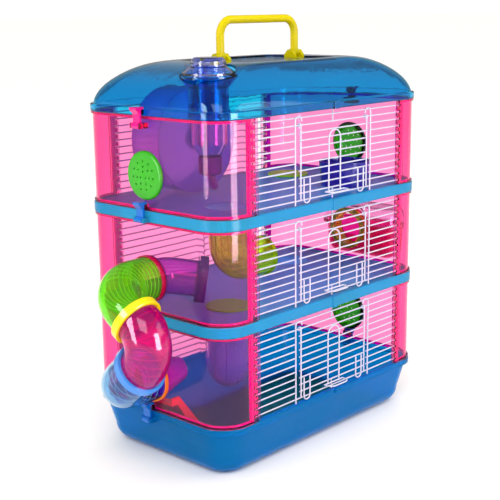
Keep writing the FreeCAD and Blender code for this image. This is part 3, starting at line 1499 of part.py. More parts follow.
make_chute("chute_elbow_blue", DECK_BASE["lower"], "chute_wide_drop", "chute_wide_leg",
           "chute_wide_bend", "chute_wide_out", "chute_wide_flange", number("chute_wide_turn"))
make_plug("floor_plug_upper", "port_x", "port_y", DECK_BASE["upper"])
make_plug("floor_plug_lower", "-port_x", "-port_y", DECK_BASE["lower"])
make_cap("vent_cap_left_upper", -1, "upper")
make_cap("vent_cap_right_upper", 1, "upper")
make_cap("vent_cap_right_lower", 1, "lower")
make_pod_ring()
make_pod_base()
make_pod_lid()
make_wheel()
make_axle()
make_hanger()
make_bottle()
make_bottle_cap()
make_nozzle()
make_ball()
make_dish()

doc.recompute()


# Check everything, then write one file for each piece

pieces = [item for item in doc.Objects if item.TypeId in ("PartDesign::Body", "Part::Sphere")]
faults = [f"{item.Label}: {', '.join(item.State)}" for item in doc.Objects
          if "Invalid" in item.State or "Error" in item.State]
for piece in pieces:
    if piece.Shape.isNull() or not piece.Shape.isValid():
        faults.append(f"{piece.Label}: bad shape")
    elif len(piece.Shape.Solids) != 1:
        faults.append(f"{piece.Label}: {len(piece.Shape.Solids)} solids")
if faults:
    raise RuntimeError("; ".join(faults))
os.makedirs("parts", exist_ok=True)
for piece in pieces:
    piece.Shape.exportStep(f"parts/{piece.Label}.step")
print(len(pieces), "pieces written")
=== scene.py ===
import json
import math

import bmesh
import bpy
from mathutils import Matrix, Vector


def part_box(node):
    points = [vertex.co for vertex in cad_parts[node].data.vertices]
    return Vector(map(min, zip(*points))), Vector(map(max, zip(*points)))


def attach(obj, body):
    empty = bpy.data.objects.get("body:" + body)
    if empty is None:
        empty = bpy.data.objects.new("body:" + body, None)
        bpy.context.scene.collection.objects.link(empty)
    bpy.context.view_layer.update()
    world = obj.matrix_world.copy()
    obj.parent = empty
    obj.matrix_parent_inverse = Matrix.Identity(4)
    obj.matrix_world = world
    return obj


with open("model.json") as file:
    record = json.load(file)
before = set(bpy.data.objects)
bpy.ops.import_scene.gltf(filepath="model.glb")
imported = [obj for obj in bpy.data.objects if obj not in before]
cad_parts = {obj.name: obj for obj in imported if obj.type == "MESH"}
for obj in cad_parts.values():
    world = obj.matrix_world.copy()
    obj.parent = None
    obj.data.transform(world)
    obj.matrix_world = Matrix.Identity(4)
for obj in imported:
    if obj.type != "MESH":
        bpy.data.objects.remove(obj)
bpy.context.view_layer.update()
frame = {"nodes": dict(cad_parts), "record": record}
NODES = frame["nodes"]


# Named values of the surfaces

WHITE = (1, 1, 1, 1)
BLACK = (0, 0, 0, 1)
GRIME_COLOUR = (0.35, 0.3, 0.34, 1)
NOISE_MIDDLE = 0.5
SCUFF_STRETCH = (90, 90, 900)
SCUFF_IN_HEIGHT = 0.15
WIRE_ROUGHNESS = 0.18
WIRE_DIRT_ROUGHNESS = 0.25
RIB_DENSITY = 40.0

# The recess in the roof's dome, in metres: half its length and width, and the heights about its floor
RECESS_HALF_LENGTH = 0.088
RECESS_HALF_WIDTH = 0.06
RECESS_FLOOR_LOW = 0.4955
RECESS_FLOOR_HIGH = 0.4996

# Sockets of a colour mix and of a curve's trim, by number because several of them share a name
MIX_FACTOR, MIX_FIRST, MIX_SECOND, MIX_RESULT = 0, 6, 7, 2
TRIM_START, TRIM_END = 2, 3


# Shader node groups: the surface of moulded plastic and of coated wire

def new_group(name, inputs, outputs):
    """An empty shader group with its named sockets, and its two end nodes."""
    group = bpy.data.node_groups.new(name, "ShaderNodeTree")
    for label, kind, value in inputs:
        socket = group.interface.new_socket(label, in_out="INPUT", socket_type=kind)
        socket.default_value = value
    for label, kind in outputs:
        group.interface.new_socket(label, in_out="OUTPUT", socket_type=kind)
    return group, group.nodes.new("NodeGroupInput"), group.nodes.new("NodeGroupOutput")


def add_node(tree, kind, **values):
    """A node with its settings, and its plain inputs by name."""
    node = tree.nodes.new(kind)
    for key, value in values.items():
        if key in node.inputs:
            node.inputs[key].default_value = value
        else:
            setattr(node, key, value)
    return node


def feed(tree, socket, item):
    """Link an input to another node's output, or give it a plain value."""
    if isinstance(item, bpy.types.NodeSocket):
        tree.links.new(item, socket)
    else:
        socket.default_value = item


def mixed_colour(tree, factor, first, second):
    """Mix two colours; each end is a socket or a plain value."""
    node = tree.nodes.new("ShaderNodeMix")
    node.data_type = "RGBA"
    for place, item in ((MIX_FACTOR, factor), (MIX_FIRST, first), (MIX_SECOND, second)):
        feed(tree, node.inputs[place], item)
    return node.outputs[MIX_RESULT]


def arithmetic(tree, operation, first, second=0.0, third=0.0, clamp=False):
    """One sum of up to three terms, each a socket or a plain value."""
    node = tree.nodes.new("ShaderNodeMath")
    node.operation = operation
    node.use_clamp = clamp
    for socket, item in zip(node.inputs, (first, second, third)):
        feed(tree, socket, item)
    return node.outputs[0]


def box_mask(group, start, place, prefix=""):
    """One inside a level box about the piece's Z axis and nought outside; its sizes are group inputs."""
    parts = add_node(group, "ShaderNodeSeparateXYZ")
    group.links.new(place.outputs["Object"], parts.inputs[0])
    above = arithmetic(group, "GREATER_THAN", parts.outputs["Z"], start.outputs[prefix + "Lowest"])
    below = arithmetic(group, "LESS_THAN", parts.outputs["Z"], start.outputs[prefix + "Highest"])
    mask = arithmetic(group, "MULTIPLY", above, below)
    for axis, name in (("X", "Half Length"), ("Y", "Half Width")):
        away = arithmetic(group, "ABSOLUTE", parts.outputs[axis])
        inside = arithmetic(group, "LESS_THAN", away, start.outputs[prefix + name])
        mask = arithmetic(group, "MULTIPLY", mask, inside)
    return mask


def moulded_finish_group():
    """Slow colour drift, fine scuffs, a faint ripple, and a box of painted light, in which another colour
    stands in for the light that falls there.
    """
    group, start, end = new_group(
        "moulded_finish",
        [("Colour", "NodeSocketColor", WHITE), ("Shade Depth", "NodeSocketFloat", 0.06),
         ("Roughness", "NodeSocketFloat", 0.2), ("Scuff Amount", "NodeSocketFloat", 0.15),
         ("Ripple Scale", "NodeSocketFloat", 60.0), ("Patch Colour", "NodeSocketColor", WHITE),
         ("Patch Half Length", "NodeSocketFloat", 0.0), ("Patch Half Width", "NodeSocketFloat", 0.0),
         ("Patch Lowest", "NodeSocketFloat", 0.0), ("Patch Highest", "NodeSocketFloat", 0.0)],
        [("Colour", "NodeSocketColor"), ("Roughness", "NodeSocketFloat"), ("Height", "NodeSocketFloat")])
    place = add_node(group, "ShaderNodeTexCoord")
    # Painted light: inside this box the colour is swapped for a lighter one that stands in for light on a
    # shaded floor
    painted_light = box_mask(group, start, place, "Patch ")
    drift = add_node(group, "ShaderNodeTexNoise", Scale=14.0, Detail=3.0, Roughness=0.55)
    group.links.new(place.outputs["Object"], drift.inputs["Vector"])
    stretch = add_node(group, "ShaderNodeMapping", Scale=SCUFF_STRETCH)
    group.links.new(place.outputs["Object"], stretch.inputs["Vector"])
    scuff = add_node(group, "ShaderNodeTexNoise", Scale=1.0, Detail=6.0, Roughness=0.7)
    group.links.new(stretch.outputs["Vector"], scuff.inputs["Vector"])
    ripple = add_node(group, "ShaderNodeTexNoise", Detail=2.0)
    group.links.new(place.outputs["Object"], ripple.inputs["Vector"])
    group.links.new(start.outputs["Ripple Scale"], ripple.inputs["Scale"])
    centred = arithmetic(group, "SUBTRACT", drift.outputs["Fac"], NOISE_MIDDLE)
    shade = arithmetic(group, "MULTIPLY", centred, start.outputs["Shade Depth"])
    lighter = arithmetic(group, "MAXIMUM", shade, 0.0)
    darker = arithmetic(group, "MAXIMUM", arithmetic(group, "MULTIPLY", shade, -1.0), 0.0)
    # The painted light of the box goes in here, before the drift
    colour_with_painted_light = mixed_colour(group, painted_light, start.outputs["Colour"], start.outputs["Patch Colour"])
    tint = mixed_colour(group, lighter, colour_with_painted_light, WHITE)
    tint = mixed_colour(group, darker, tint, BLACK)
    group.links.new(tint, end.inputs["Colour"])
    worn = arithmetic(group, "SUBTRACT", scuff.outputs["Fac"], NOISE_MIDDLE, clamp=True)
    worn = arithmetic(group, "MULTIPLY", worn, start.outputs["Scuff Amount"])
    rough = arithmetic(group, "ADD", start.outputs["Roughness"], worn, clamp=True)
    group.links.new(rough, end.inputs["Roughness"])
    height = arithmetic(group, "MULTIPLY_ADD", scuff.outputs["Fac"], SCUFF_IN_HEIGHT, ripple.outputs["Fac"])
    group.links.new(height, end.inputs["Height"])
    return group


def pebbled_patch_group():
    """A pebbled height inside one upright box of the piece, smooth everywhere else."""
    group, start, end = new_group(
        "pebbled_patch",
        [("Half Length", "NodeSocketFloat", RECESS_HALF_LENGTH),
         ("Half Width", "NodeSocketFloat", RECESS_HALF_WIDTH),
         ("Lowest", "NodeSocketFloat", RECESS_FLOOR_LOW), ("Highest", "NodeSocketFloat", RECESS_FLOOR_HIGH),
         ("Pebble Scale", "NodeSocketFloat", 420.0)],
        [("Height", "NodeSocketFloat")])
    place = add_node(group, "ShaderNodeTexCoord")
    pebbles = add_node(group, "ShaderNodeTexVoronoi", Randomness=1.0)
    group.links.new(place.outputs["Object"], pebbles.inputs["Vector"])
    group.links.new(start.outputs["Pebble Scale"], pebbles.inputs["Scale"])
    mask = box_mask(group, start, place)
    raised = arithmetic(group, "SUBTRACT", 1.0, pebbles.outputs["Distance"], clamp=True)
    group.links.new(arithmetic(group, "MULTIPLY", raised, mask), end.inputs["Height"])
    return group


def dipped_coat_group():
    """The slightly wavy skin of a plastic coat on wire, with dull stains."""
    group, start, end = new_group(
        "dipped_coat",
        [("Colour", "NodeSocketColor", WHITE), ("Grime", "NodeSocketFloat", 0.06),
         ("Wave Scale", "NodeSocketFloat", 240.0)],
        [("Colour", "NodeSocketColor"), ("Roughness", "NodeSocketFloat"), ("Height", "NodeSocketFloat")])
    place = add_node(group, "ShaderNodeTexCoord")
    waves = add_node(group, "ShaderNodeTexNoise", Detail=2.0)
    group.links.new(place.outputs["Object"], waves.inputs["Vector"])
    group.links.new(start.outputs["Wave Scale"], waves.inputs["Scale"])
    dirt = add_node(group, "ShaderNodeTexNoise", Scale=35.0, Detail=5.0, Roughness=0.65)
    group.links.new(place.outputs["Object"], dirt.inputs["Vector"])
    grime = arithmetic(group, "MULTIPLY", dirt.outputs["Fac"], start.outputs["Grime"])
    group.links.new(mixed_colour(group, grime, start.outputs["Colour"], GRIME_COLOUR), end.inputs["Colour"])
    rough = arithmetic(group, "MULTIPLY_ADD", dirt.outputs["Fac"], WIRE_DIRT_ROUGHNESS, WIRE_ROUGHNESS)
    group.links.new(rough, end.inputs["Roughness"])
    group.links.new(waves.outputs["Fac"], end.inputs["Height"])
    return group


MOULDED = moulded_finish_group()
DIPPED = dipped_coat_group()


# Materials

def new_material(name):
    """A material with nodes, its tree and its one shader."""
    material = bpy.data.materials.new(name)
    material.use_nodes = True
    shader = material.node_tree.nodes["Principled BSDF"]
    return material, material.node_tree, shader


def linear(red, green, blue):
    """A colour read off a screen as 0 to 255, as the shader wants it."""
    def one(value):
        value /= 255
        return value / 12.92 if value <= 0.04045 else ((value + 0.055) / 1.055) ** 2.4
    return (one(red), one(green), one(blue), 1.0)


def surfaced(tree, shader, group, strength, distance):
    """Give a shader the colour, roughness and unevenness that a group makes; returns the group's node."""
    finish = tree.nodes.new("ShaderNodeGroup")
    finish.node_tree = group
    tree.links.new(finish.outputs["Colour"], shader.inputs["Base Color"])
    tree.links.new(finish.outputs["Roughness"], shader.inputs["Roughness"])
    uneven = add_node(tree, "ShaderNodeBump", Strength=strength, Distance=distance)
    tree.links.new(finish.outputs["Height"], uneven.inputs["Height"])
    tree.links.new(uneven.outputs["Normal"], shader.inputs["Normal"])
    return finish


def plastic(name, colour, rough=0.22, clear=0.0, ior=1.46, shade=0.08, scuff=0.12, ripple=60.0,
            bump=0.02, coat=0.0):
    """Moulded plastic; clear is how much light passes through it."""
    material, tree, shader = new_material(name)
    finish = surfaced(tree, shader, MOULDED, strength=bump, distance=0.001)
    finish.inputs["Colour"].default_value = colour
    finish.inputs["Shade Depth"].default_value = shade
    finish.inputs["Roughness"].default_value = rough
    finish.inputs["Scuff Amount"].default_value = scuff
    finish.inputs["Ripple Scale"].default_value = ripple
    shader.inputs["Transmission Weight"].default_value = clear
    shader.inputs["IOR"].default_value = ior
    shader.inputs["Coat Weight"].default_value = coat
    shader.inputs["Coat Roughness"].default_value = 0.06
    return material


def clear_plastic(name, tint, deep, density, rough=0.04, clear=1.0, ior=1.46, shade=0.05):
    """Tinted see-through plastic: tint colours its faces, deep and density its thickness."""
    material = plastic(name, tint, rough, clear, ior, shade, scuff=0.1, ripple=45.0, bump=0.015)
    tree = material.node_tree
    depth = add_node(tree, "ShaderNodeVolumeAbsorption", Color=deep, Density=density)
    tree.links.new(depth.outputs["Volume"], tree.nodes["Material Output"].inputs["Volume"])
    return material


def roof_plastic(name, tint, deep, density, ior):
    """The roof's clear plastic, with the pebbled floor of its recess."""
    material = clear_plastic(name, tint, deep, density, ior=ior)
    tree = material.node_tree
    pebbled = tree.nodes.new("ShaderNodeGroup")
    pebbled.node_tree = pebbled_patch_group()
    rough = add_node(tree, "ShaderNodeBump", Strength=0.2, Distance=0.0006)
    tree.links.new(pebbled.outputs["Height"], rough.inputs["Height"])
    shader = tree.nodes["Principled BSDF"]
    tree.links.new(shader.inputs["Normal"].links[0].from_socket, rough.inputs["Normal"])
    tree.links.new(rough.outputs["Normal"], shader.inputs["Normal"])
    return material


def highlit_rib_plastic(name, tint, deep, clear=0.4):
    """The plastic of the thin ribs in a tube, paler than the tube: a painted highlight for the light that
    catches the ribs.
    """
    return clear_plastic(name, tint, deep, RIB_DENSITY, rough=0.1, clear=clear)


def coated_wire(name, colour):
    """Wire in a dipped plastic coat."""
    material, tree, shader = new_material(name)
    coat = surfaced(tree, shader, DIPPED, strength=0.05, distance=0.0005)
    coat.inputs["Colour"].default_value = colour
    return material


FINISHES = {
    "tray_azure": clear_plastic(
        "tray_azure_clear", tint=(0.0, 0.31, 0.7, 1), deep=(0.02, 0.75, 0.95, 1), density=60.0,
        rough=0.2, clear=0.7, ior=1.15, shade=0.03),
    "deck_blue": clear_plastic(
        "deck_blue_clear", tint=(0.03, 0.4, 0.68, 1), deep=(0.12, 0.8, 0.97, 1), density=90.0,
        rough=0.2, clear=0.5, ior=1.2),
    "roof_azure": roof_plastic(
        "roof_azure_clear", tint=(0.0, 0.52, 0.8, 1), deep=(0.05, 0.75, 0.93, 1), density=60.0, ior=1.3),
    "panel_pink": clear_plastic(
        "panel_pink_clear", tint=(1.0, 0.6, 0.86, 1), deep=(0.99, 0.2, 0.62, 1), density=350.0,
        clear=0.99, ior=1.27),
    "panel_seam": clear_plastic(
        "panel_seam_magenta", tint=(0.9, 0.0, 0.6, 1), deep=(0.97, 0.05, 0.6, 1), density=120.0,
        rough=0.12, clear=0.2, ior=1.3),
    "wire_white": coated_wire("coated_wire_white", linear(205, 203, 220)),
    "handle_yellow": clear_plastic(
        "handle_yellow_clear", tint=(0.84, 0.72, 0.0, 1), deep=(0.95, 0.88, 0.0, 1), density=200.0,
        rough=0.07, clear=0.45, ior=1.2),
    "clip_blue": clear_plastic(
        "clip_blue_clear", tint=(0.0, 0.2, 0.75, 1), deep=(0.05, 0.4, 0.95, 1), density=80.0,
        rough=0.12, clear=0.3),
    "clip_pink": clear_plastic(
        "clip_pink_clear", tint=(0.95, 0.0, 0.3, 1), deep=(0.98, 0.1, 0.5, 1), density=60.0,
        rough=0.12, clear=0.25),
    "cap_lime": clear_plastic(
        "cap_lime_plastic", tint=linear(60, 205, 14), deep=(0.3, 0.9, 0.05, 1), density=60.0,
        rough=0.25, clear=0.4, shade=0.12),
    "ring_red": plastic("ring_red_plastic", linear(185, 0, 60), rough=0.18, coat=0.3),
    "ring_orange": plastic("ring_orange_plastic", linear(255, 125, 10), rough=0.18, coat=0.3),
    "ring_yellow": plastic("ring_yellow_plastic", linear(252, 222, 0), rough=0.18, coat=0.3),
    "collar_blue": plastic("collar_blue_plastic", linear(50, 130, 215), rough=0.18, coat=0.3),
    "tube_green": clear_plastic(
        "tube_green_clear", tint=(0.4, 0.97, 0.03, 1), deep=(0.5, 0.97, 0.1, 1), density=45.0,
        clear=0.88, ior=1.35),
    "tube_magenta": clear_plastic(
        "tube_magenta_clear", tint=(0.9, 0.0, 0.42, 1), deep=(0.95, 0.1, 0.65, 1), density=130.0,
        clear=0.85),
    "tube_blue": clear_plastic(
        "tube_blue_clear", tint=(0.45, 0.76, 0.97, 1), deep=(0.3, 0.8, 0.98, 1), density=120.0),
    "tube_purple": clear_plastic(
        "tube_purple_clear", tint=(0.8, 0.3, 0.98, 1), deep=(0.6, 0.3, 0.95, 1), density=50.0,
        clear=0.93),
    "collar_purple": clear_plastic(
        "collar_purple_clear", tint=linear(80, 10, 170), deep=(0.4, 0.1, 0.9, 1), density=60.0,
        rough=0.12, clear=0.4),
    "slide_red": clear_plastic(
        "slide_red_clear", tint=(1.0, 0.06, 0.08, 1), deep=(1.0, 0.4, 0.3, 1), density=60.0,
        rough=0.12, clear=0.2),
    "chute_lime": clear_plastic(
        "chute_lime_clear", tint=(0.65, 0.95, 0.0, 1), deep=(0.85, 0.95, 0.0, 1), density=150.0,
        rough=0.05, clear=0.88, ior=1.35),
    "chute_blue": clear_plastic(
        "chute_blue_clear", tint=(0.3, 0.42, 1.0, 1), deep=(0.4, 0.5, 0.97, 1), density=70.0,
        rough=0.06, clear=0.75, ior=1.35),
    "wheel_blue": clear_plastic(
        "wheel_blue_clear", tint=(0.36, 0.34, 0.97, 1), deep=(0.5, 0.5, 0.97, 1), density=70.0,
        rough=0.12, clear=0.6),
    "hanger_dark": clear_plastic(
        "hanger_dark_clear", tint=(0.12, 0.08, 0.6, 1), deep=(0.2, 0.2, 0.9, 1), density=90.0,
        rough=0.14, clear=0.35),
    "bottle_clear": clear_plastic(
        "bottle_clear_plastic", tint=(0.8, 0.82, 1.0, 1), deep=(0.5, 0.55, 1.0, 1), density=60.0),
    "cap_purple": plastic("cap_purple_plastic", linear(62, 0, 125), rough=0.35, ior=1.15),
    "nozzle_purple": clear_plastic(
        "nozzle_purple_clear", tint=(0.12, 0.0, 0.4, 1), deep=(0.4, 0.1, 0.9, 1), density=200.0,
        rough=0.1, clear=0.4),
    "ball_steel": plastic("ball_steel_polished", linear(220, 220, 225), rough=0.1),
    "dish_navy": clear_plastic(
        "dish_navy_clear", tint=(0.03, 0.015, 0.4, 1), deep=(0.1, 0.05, 0.85, 1), density=160.0,
        rough=0.1, clear=0.3),
    "pod_magenta": clear_plastic(
        "pod_magenta_clear", tint=(0.92, 0.01, 0.36, 1), deep=(0.97, 0.1, 0.6, 1), density=90.0,
        rough=0.1, clear=0.75),
    "pod_clear": clear_plastic(
        "pod_clear_plastic", tint=(0.96, 0.97, 1.0, 1), deep=(0.95, 0.97, 1.0, 1), density=30.0),
}
FINISHES["ball_steel"].node_tree.nodes["Principled BSDF"].inputs["Metallic"].default_value = 1.0

# Pieces that differ in colour from the others in their slot
OWN_FINISH = {
    "port_ring_yellow": clear_plastic(
        "ring_yellow_clear", tint=(0.95, 0.75, 0.02, 1), deep=(0.97, 0.85, 0.1, 1), density=80.0,
        rough=0.08, clear=0.75),
    "floor_plug_upper": clear_plastic(
        "plug_yellow_green", tint=(0.55, 0.95, 0.0, 1), deep=(0.8, 0.95, 0.1, 1), density=60.0,
        rough=0.15, clear=0.2),
    "floor_plug_lower": clear_plastic(
        "plug_green", tint=(0.14, 1.0, 0.0, 1), deep=(0.6, 0.97, 0.1, 1), density=60.0,
        rough=0.15, clear=0.2, ior=1.3),
    "inner_funnel": clear_plastic(
        "funnel_violet", tint=(0.7, 0.03, 0.95, 1), deep=(0.7, 0.2, 0.95, 1), density=60.0,
        rough=0.06, clear=0.5),
}

# Paler tints for the ribs: painted highlights, for the light that catches them
RIB_FINISHES = {
    "tube_green": highlit_rib_plastic("green_ribs", tint=(0.75, 1.0, 0.35, 1), deep=(0.7, 0.97, 0.3, 1)),
    "tube_magenta": highlit_rib_plastic("magenta_ribs", tint=(1.0, 0.35, 0.75, 1), deep=(0.97, 0.4, 0.8, 1)),
    "tube_blue": highlit_rib_plastic("blue_ribs", tint=(0.8, 0.93, 1.0, 1), deep=(0.7, 0.9, 1.0, 1)),
    "chute_lime": highlit_rib_plastic("lime_ribs", tint=(0.95, 1.0, 0.15, 1), deep=(0.9, 0.97, 0.3, 1), clear=0.3),
    "chute_blue": highlit_rib_plastic("chute_blue_ribs", tint=(0.6, 0.65, 1.0, 1), deep=(0.5, 0.6, 0.97, 1)),
}

# Painted light: boxes about the level floors of the tray and the decks, which get a lighter colour than
# their walls to stand in for light on these shaded floors
PAINTED_LIGHT_FLOORS = {
    "tray_azure": {
        "Patch Colour": (0.02, 0.58, 0.58, 1), "Patch Half Length": 0.165, "Patch Half Width": 0.085,
        "Patch Lowest": 0.0022, "Patch Highest": 0.008},
    "deck_blue": {
        "Patch Colour": (0.2, 0.55, 1.0, 1), "Patch Half Length": 0.19, "Patch Half Width": 0.111,
        "Patch Lowest": 0.15, "Patch Highest": 0.4},
}
# Set the boxes of painted light on the tray's and the decks' finishes
for slot_name, painted_light in PAINTED_LIGHT_FLOORS.items():
    for item in FINISHES[slot_name].node_tree.nodes:
        if item.type == "GROUP":
            for socket_name, value in painted_light.items():
                item.inputs[socket_name].default_value = value

SLOT_OF = {item["node"]: item["material_slot"] for item in frame["record"]["subparts"]}
for node_name, node in NODES.items():
    node.data.materials.clear()
    node.data.materials.append(OWN_FINISH.get(node_name, FINISHES[SLOT_OF[node_name]]))


# Places and sizes of the small pieces that the solids leave to this script, in millimetres

MM = 0.001
STOREY_BASE = (69 * MM, 198 * MM, 327 * MM)

# An end panel: its heights above its storey's base, and the inner faces of its wall
PANEL_BOTTOM = 0.4
PANEL_TOP = 114.1
PANEL_INNER_X = 199.4
PANEL_INNER_Y = 120.4
PANEL_CORNER_RADIUS = 34.4
PANEL_CORNER_STEPS = 12

# Teeth between the wire ends
TOOTH_SIZE = (5, 2, 5.6)
TOOTH_ROUNDING = 0.4
TEETH_IN_ROW = 11
TOOTH_PITCH = 9.3
FIRST_TOOTH_UP = 10.75
TOOTH_X = 147.2
TOOTH_Y = 119.3

# Rims and upright seams of the end panels
RIM_LEVELS = ((PANEL_BOTTOM, 3.4), (110.8, PANEL_TOP))
RIM_THICK = 1.8
SEAM_THICK = 2.0
SEAM_START_X = 149.8
SEAM_END_X = 156

# Lips beside the seams
FLAP_START_X = 144.9
FLAP_END_X = 139.5
FLAP_Y = 123.6
FLAP_THICK = 0.9

# Rungs of the wheel
RUNG_COUNT = 44
RUNG_RADIUS = 0.8
RUNG_INSET = 2.9
RUNG_END_GAPS = 5

# Tubes with ribs: the corners of a tube's middle line, the radius of its bends, and its ribs. A span is
# the share of the line that has rings; ribs that run along a tube take all of it.
RIBBED_TUBES = (
    {"name": "elbow_green_ribs", "finish": "tube_green", "bend": 38,
     "corners": [(-206, 3, 241), (-267, 3, 241), (-267, -52, 206.5)],
     "ribs": 9, "radius": 25.4, "thick": 0.5, "span": (0.04, 0.5)},
    {"name": "bend_magenta_ribs", "finish": "tube_magenta", "bend": 33.5,
     "corners": [(-267, -50, 207.8), (-267, -88, 184), (-267, -52, 155.5)],
     "ribs": 9, "radius": 25.4, "thick": 0.4, "span": (0.12, 0.88)},
    {"name": "elbow_blue_ribs", "finish": "tube_blue", "bend": 38,
     "corners": [(-206, 3, 112), (-267, 3, 112), (-267, -48, 152.3)],
     "ribs": 8, "radius": 25.4, "thick": 0.4, "span": (0.1, 0.8)},
    {"name": "chute_lime_ribs", "finish": "chute_lime", "bend": 30,
     "corners": [(-120, -53, 306), (-120, -53, 253), (-58, -53, 253)],
     "ribs": 16, "radius": 21.4, "thick": 0.6, "lengthwise": True},
    {"name": "chute_blue_ribs", "finish": "chute_blue", "bend": 36,
     "corners": [(-120, -53, 176), (-120, -53, 110.5), (-89, -18.6, 110.5)],
     "ribs": 10, "radius": 25.8, "thick": 0.7, "lengthwise": True},
)


# Geometry node trees, and the functions that run them

def keep(name, mesh, finish, body="cage", surface=None):
    """Link a finished mesh, give it its finish, and let it ride on a body."""
    mesh.materials.clear()
    mesh.materials.append(surface or FINISHES[finish])
    mesh.validate()
    piece = bpy.data.objects.new(name, mesh)
    bpy.context.scene.collection.objects.link(piece)
    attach(piece, body)


def new_tree(name, inputs):
    """A geometry tree with named inputs, and its two end nodes."""
    tree = bpy.data.node_groups.new(name, "GeometryNodeTree")
    tree.interface.new_socket("Geometry", in_out="INPUT", socket_type="NodeSocketGeometry")
    for label, kind, value in inputs:
        socket = tree.interface.new_socket(label, in_out="INPUT", socket_type=kind)
        if value is not None:
            socket.default_value = value
    tree.interface.new_socket("Geometry", in_out="OUTPUT", socket_type="NodeSocketGeometry")
    return tree, tree.nodes.new("NodeGroupInput"), tree.nodes.new("NodeGroupOutput")


def close_tree(tree, start, end, geometry):
    """End a tree in real faces, shaded smooth, with its material."""
    real = tree.nodes.new("GeometryNodeRealizeInstances")
    smooth = tree.nodes.new("GeometryNodeSetShadeSmooth")
    dressed = tree.nodes.new("GeometryNodeSetMaterial")
    tree.links.new(geometry, real.inputs[0])
    tree.links.new(real.outputs[0], smooth.inputs[0])
    tree.links.new(smooth.outputs[0], dressed.inputs["Geometry"])
    tree.links.new(start.outputs["Material"], dressed.inputs["Material"])
    tree.links.new(dressed.outputs[0], end.inputs[0])


def grow(tree, mesh, values):
    """Run a tree on a mesh and return the result as a plain mesh."""
    plan = bpy.data.objects.new(mesh.name + "_plan", mesh)
    bpy.context.scene.collection.objects.link(plan)
    modifier = plan.modifiers.new("shape", "NODES")
    modifier.node_group = tree
    for item in tree.interface.items_tree:
        if item.item_type == "SOCKET" and item.in_out == "INPUT" and item.name in values:
            modifier[item.identifier] = values[item.name]
    bpy.context.view_layer.update()
    shaped = plan.evaluated_get(bpy.context.evaluated_depsgraph_get())
    result = bpy.data.meshes.new_from_object(shaped)
    plan.modifiers.clear()
    bpy.data.objects.remove(plan)
    return result


def points_mesh(name, points, joined=False):
    """A mesh of points alone, or of points joined to one line."""
    mesh = bpy.data.meshes.new(name)
    edges = [(i, i + 1) for i in range(len(points) - 1)] if joined else []
    mesh.from_pydata([tuple(point) for point in points], edges, [])
    return mesh


def rounded_way(points, radius, steps=10):
    """A line through corners, each rounded by an arc of one radius. Takes millimetres, gives metres."""
    points = [Vector(point) * MM for point in points]
    radius *= MM
    way = [points[0]]
    for before, corner, after in zip(points, points[1:], points[2:]):
        first, second = (corner - before).normalized(), (after - corner).normalized()
        turn = first.angle(second)
        cut = radius * math.tan(turn / 2)
        start = corner - first * cut
        inward = (second - first * first.dot(second)).normalized()
        centre = start + inward * radius
        for step in range(steps + 1):
            angle = turn * step / steps
            way.append(centre - inward * radius * math.cos(angle) + first * radius * math.sin(angle))
    way.append(points[-1])
    return way


def rib_ring_tree():
    """Rings round a tube's way, evenly spaced between two shares of its length."""
    tree, start, end = new_tree("rib_rings", [
        ("Ribs", "NodeSocketInt", 8), ("From", "NodeSocketFloat", 0.0), ("To", "NodeSocketFloat", 1.0),
        ("Tube Radius", "NodeSocketFloat", 0.025), ("Rib Radius", "NodeSocketFloat", 0.0006),
        ("Material", "NodeSocketMaterial", None)])
    curve = tree.nodes.new("GeometryNodeMeshToCurve")
    cut = add_node(tree, "GeometryNodeTrimCurve", mode="FACTOR")
    along = add_node(tree, "GeometryNodeCurveToPoints", mode="COUNT")
    tree.links.new(start.outputs["Geometry"], curve.inputs["Mesh"])
    tree.links.new(curve.outputs[0], cut.inputs["Curve"])
    tree.links.new(start.outputs["From"], cut.inputs[TRIM_START])
    tree.links.new(start.outputs["To"], cut.inputs[TRIM_END])
    tree.links.new(cut.outputs[0], along.inputs["Curve"])
    tree.links.new(start.outputs["Ribs"], along.inputs["Count"])
    ring = add_node(tree, "GeometryNodeCurvePrimitiveCircle", Resolution=48)
    tree.links.new(start.outputs["Tube Radius"], ring.inputs["Radius"])
    bead = add_node(tree, "GeometryNodeCurvePrimitiveCircle", Resolution=6)
    tree.links.new(start.outputs["Rib Radius"], bead.inputs["Radius"])
    rib = tree.nodes.new("GeometryNodeCurveToMesh")
    tree.links.new(ring.outputs[0], rib.inputs["Curve"])
    tree.links.new(bead.outputs[0], rib.inputs["Profile Curve"])
    turned = add_node(tree, "FunctionNodeAlignRotationToVector", axis="Z")
    tree.links.new(along.outputs["Tangent"], turned.inputs["Vector"])
    placed = tree.nodes.new("GeometryNodeInstanceOnPoints")
    tree.links.new(along.outputs["Points"], placed.inputs["Points"])
    tree.links.new(rib.outputs[0], placed.inputs["Instance"])
    tree.links.new(turned.outputs[0], placed.inputs["Rotation"])
    close_tree(tree, start, end, placed.outputs[0])
    return tree


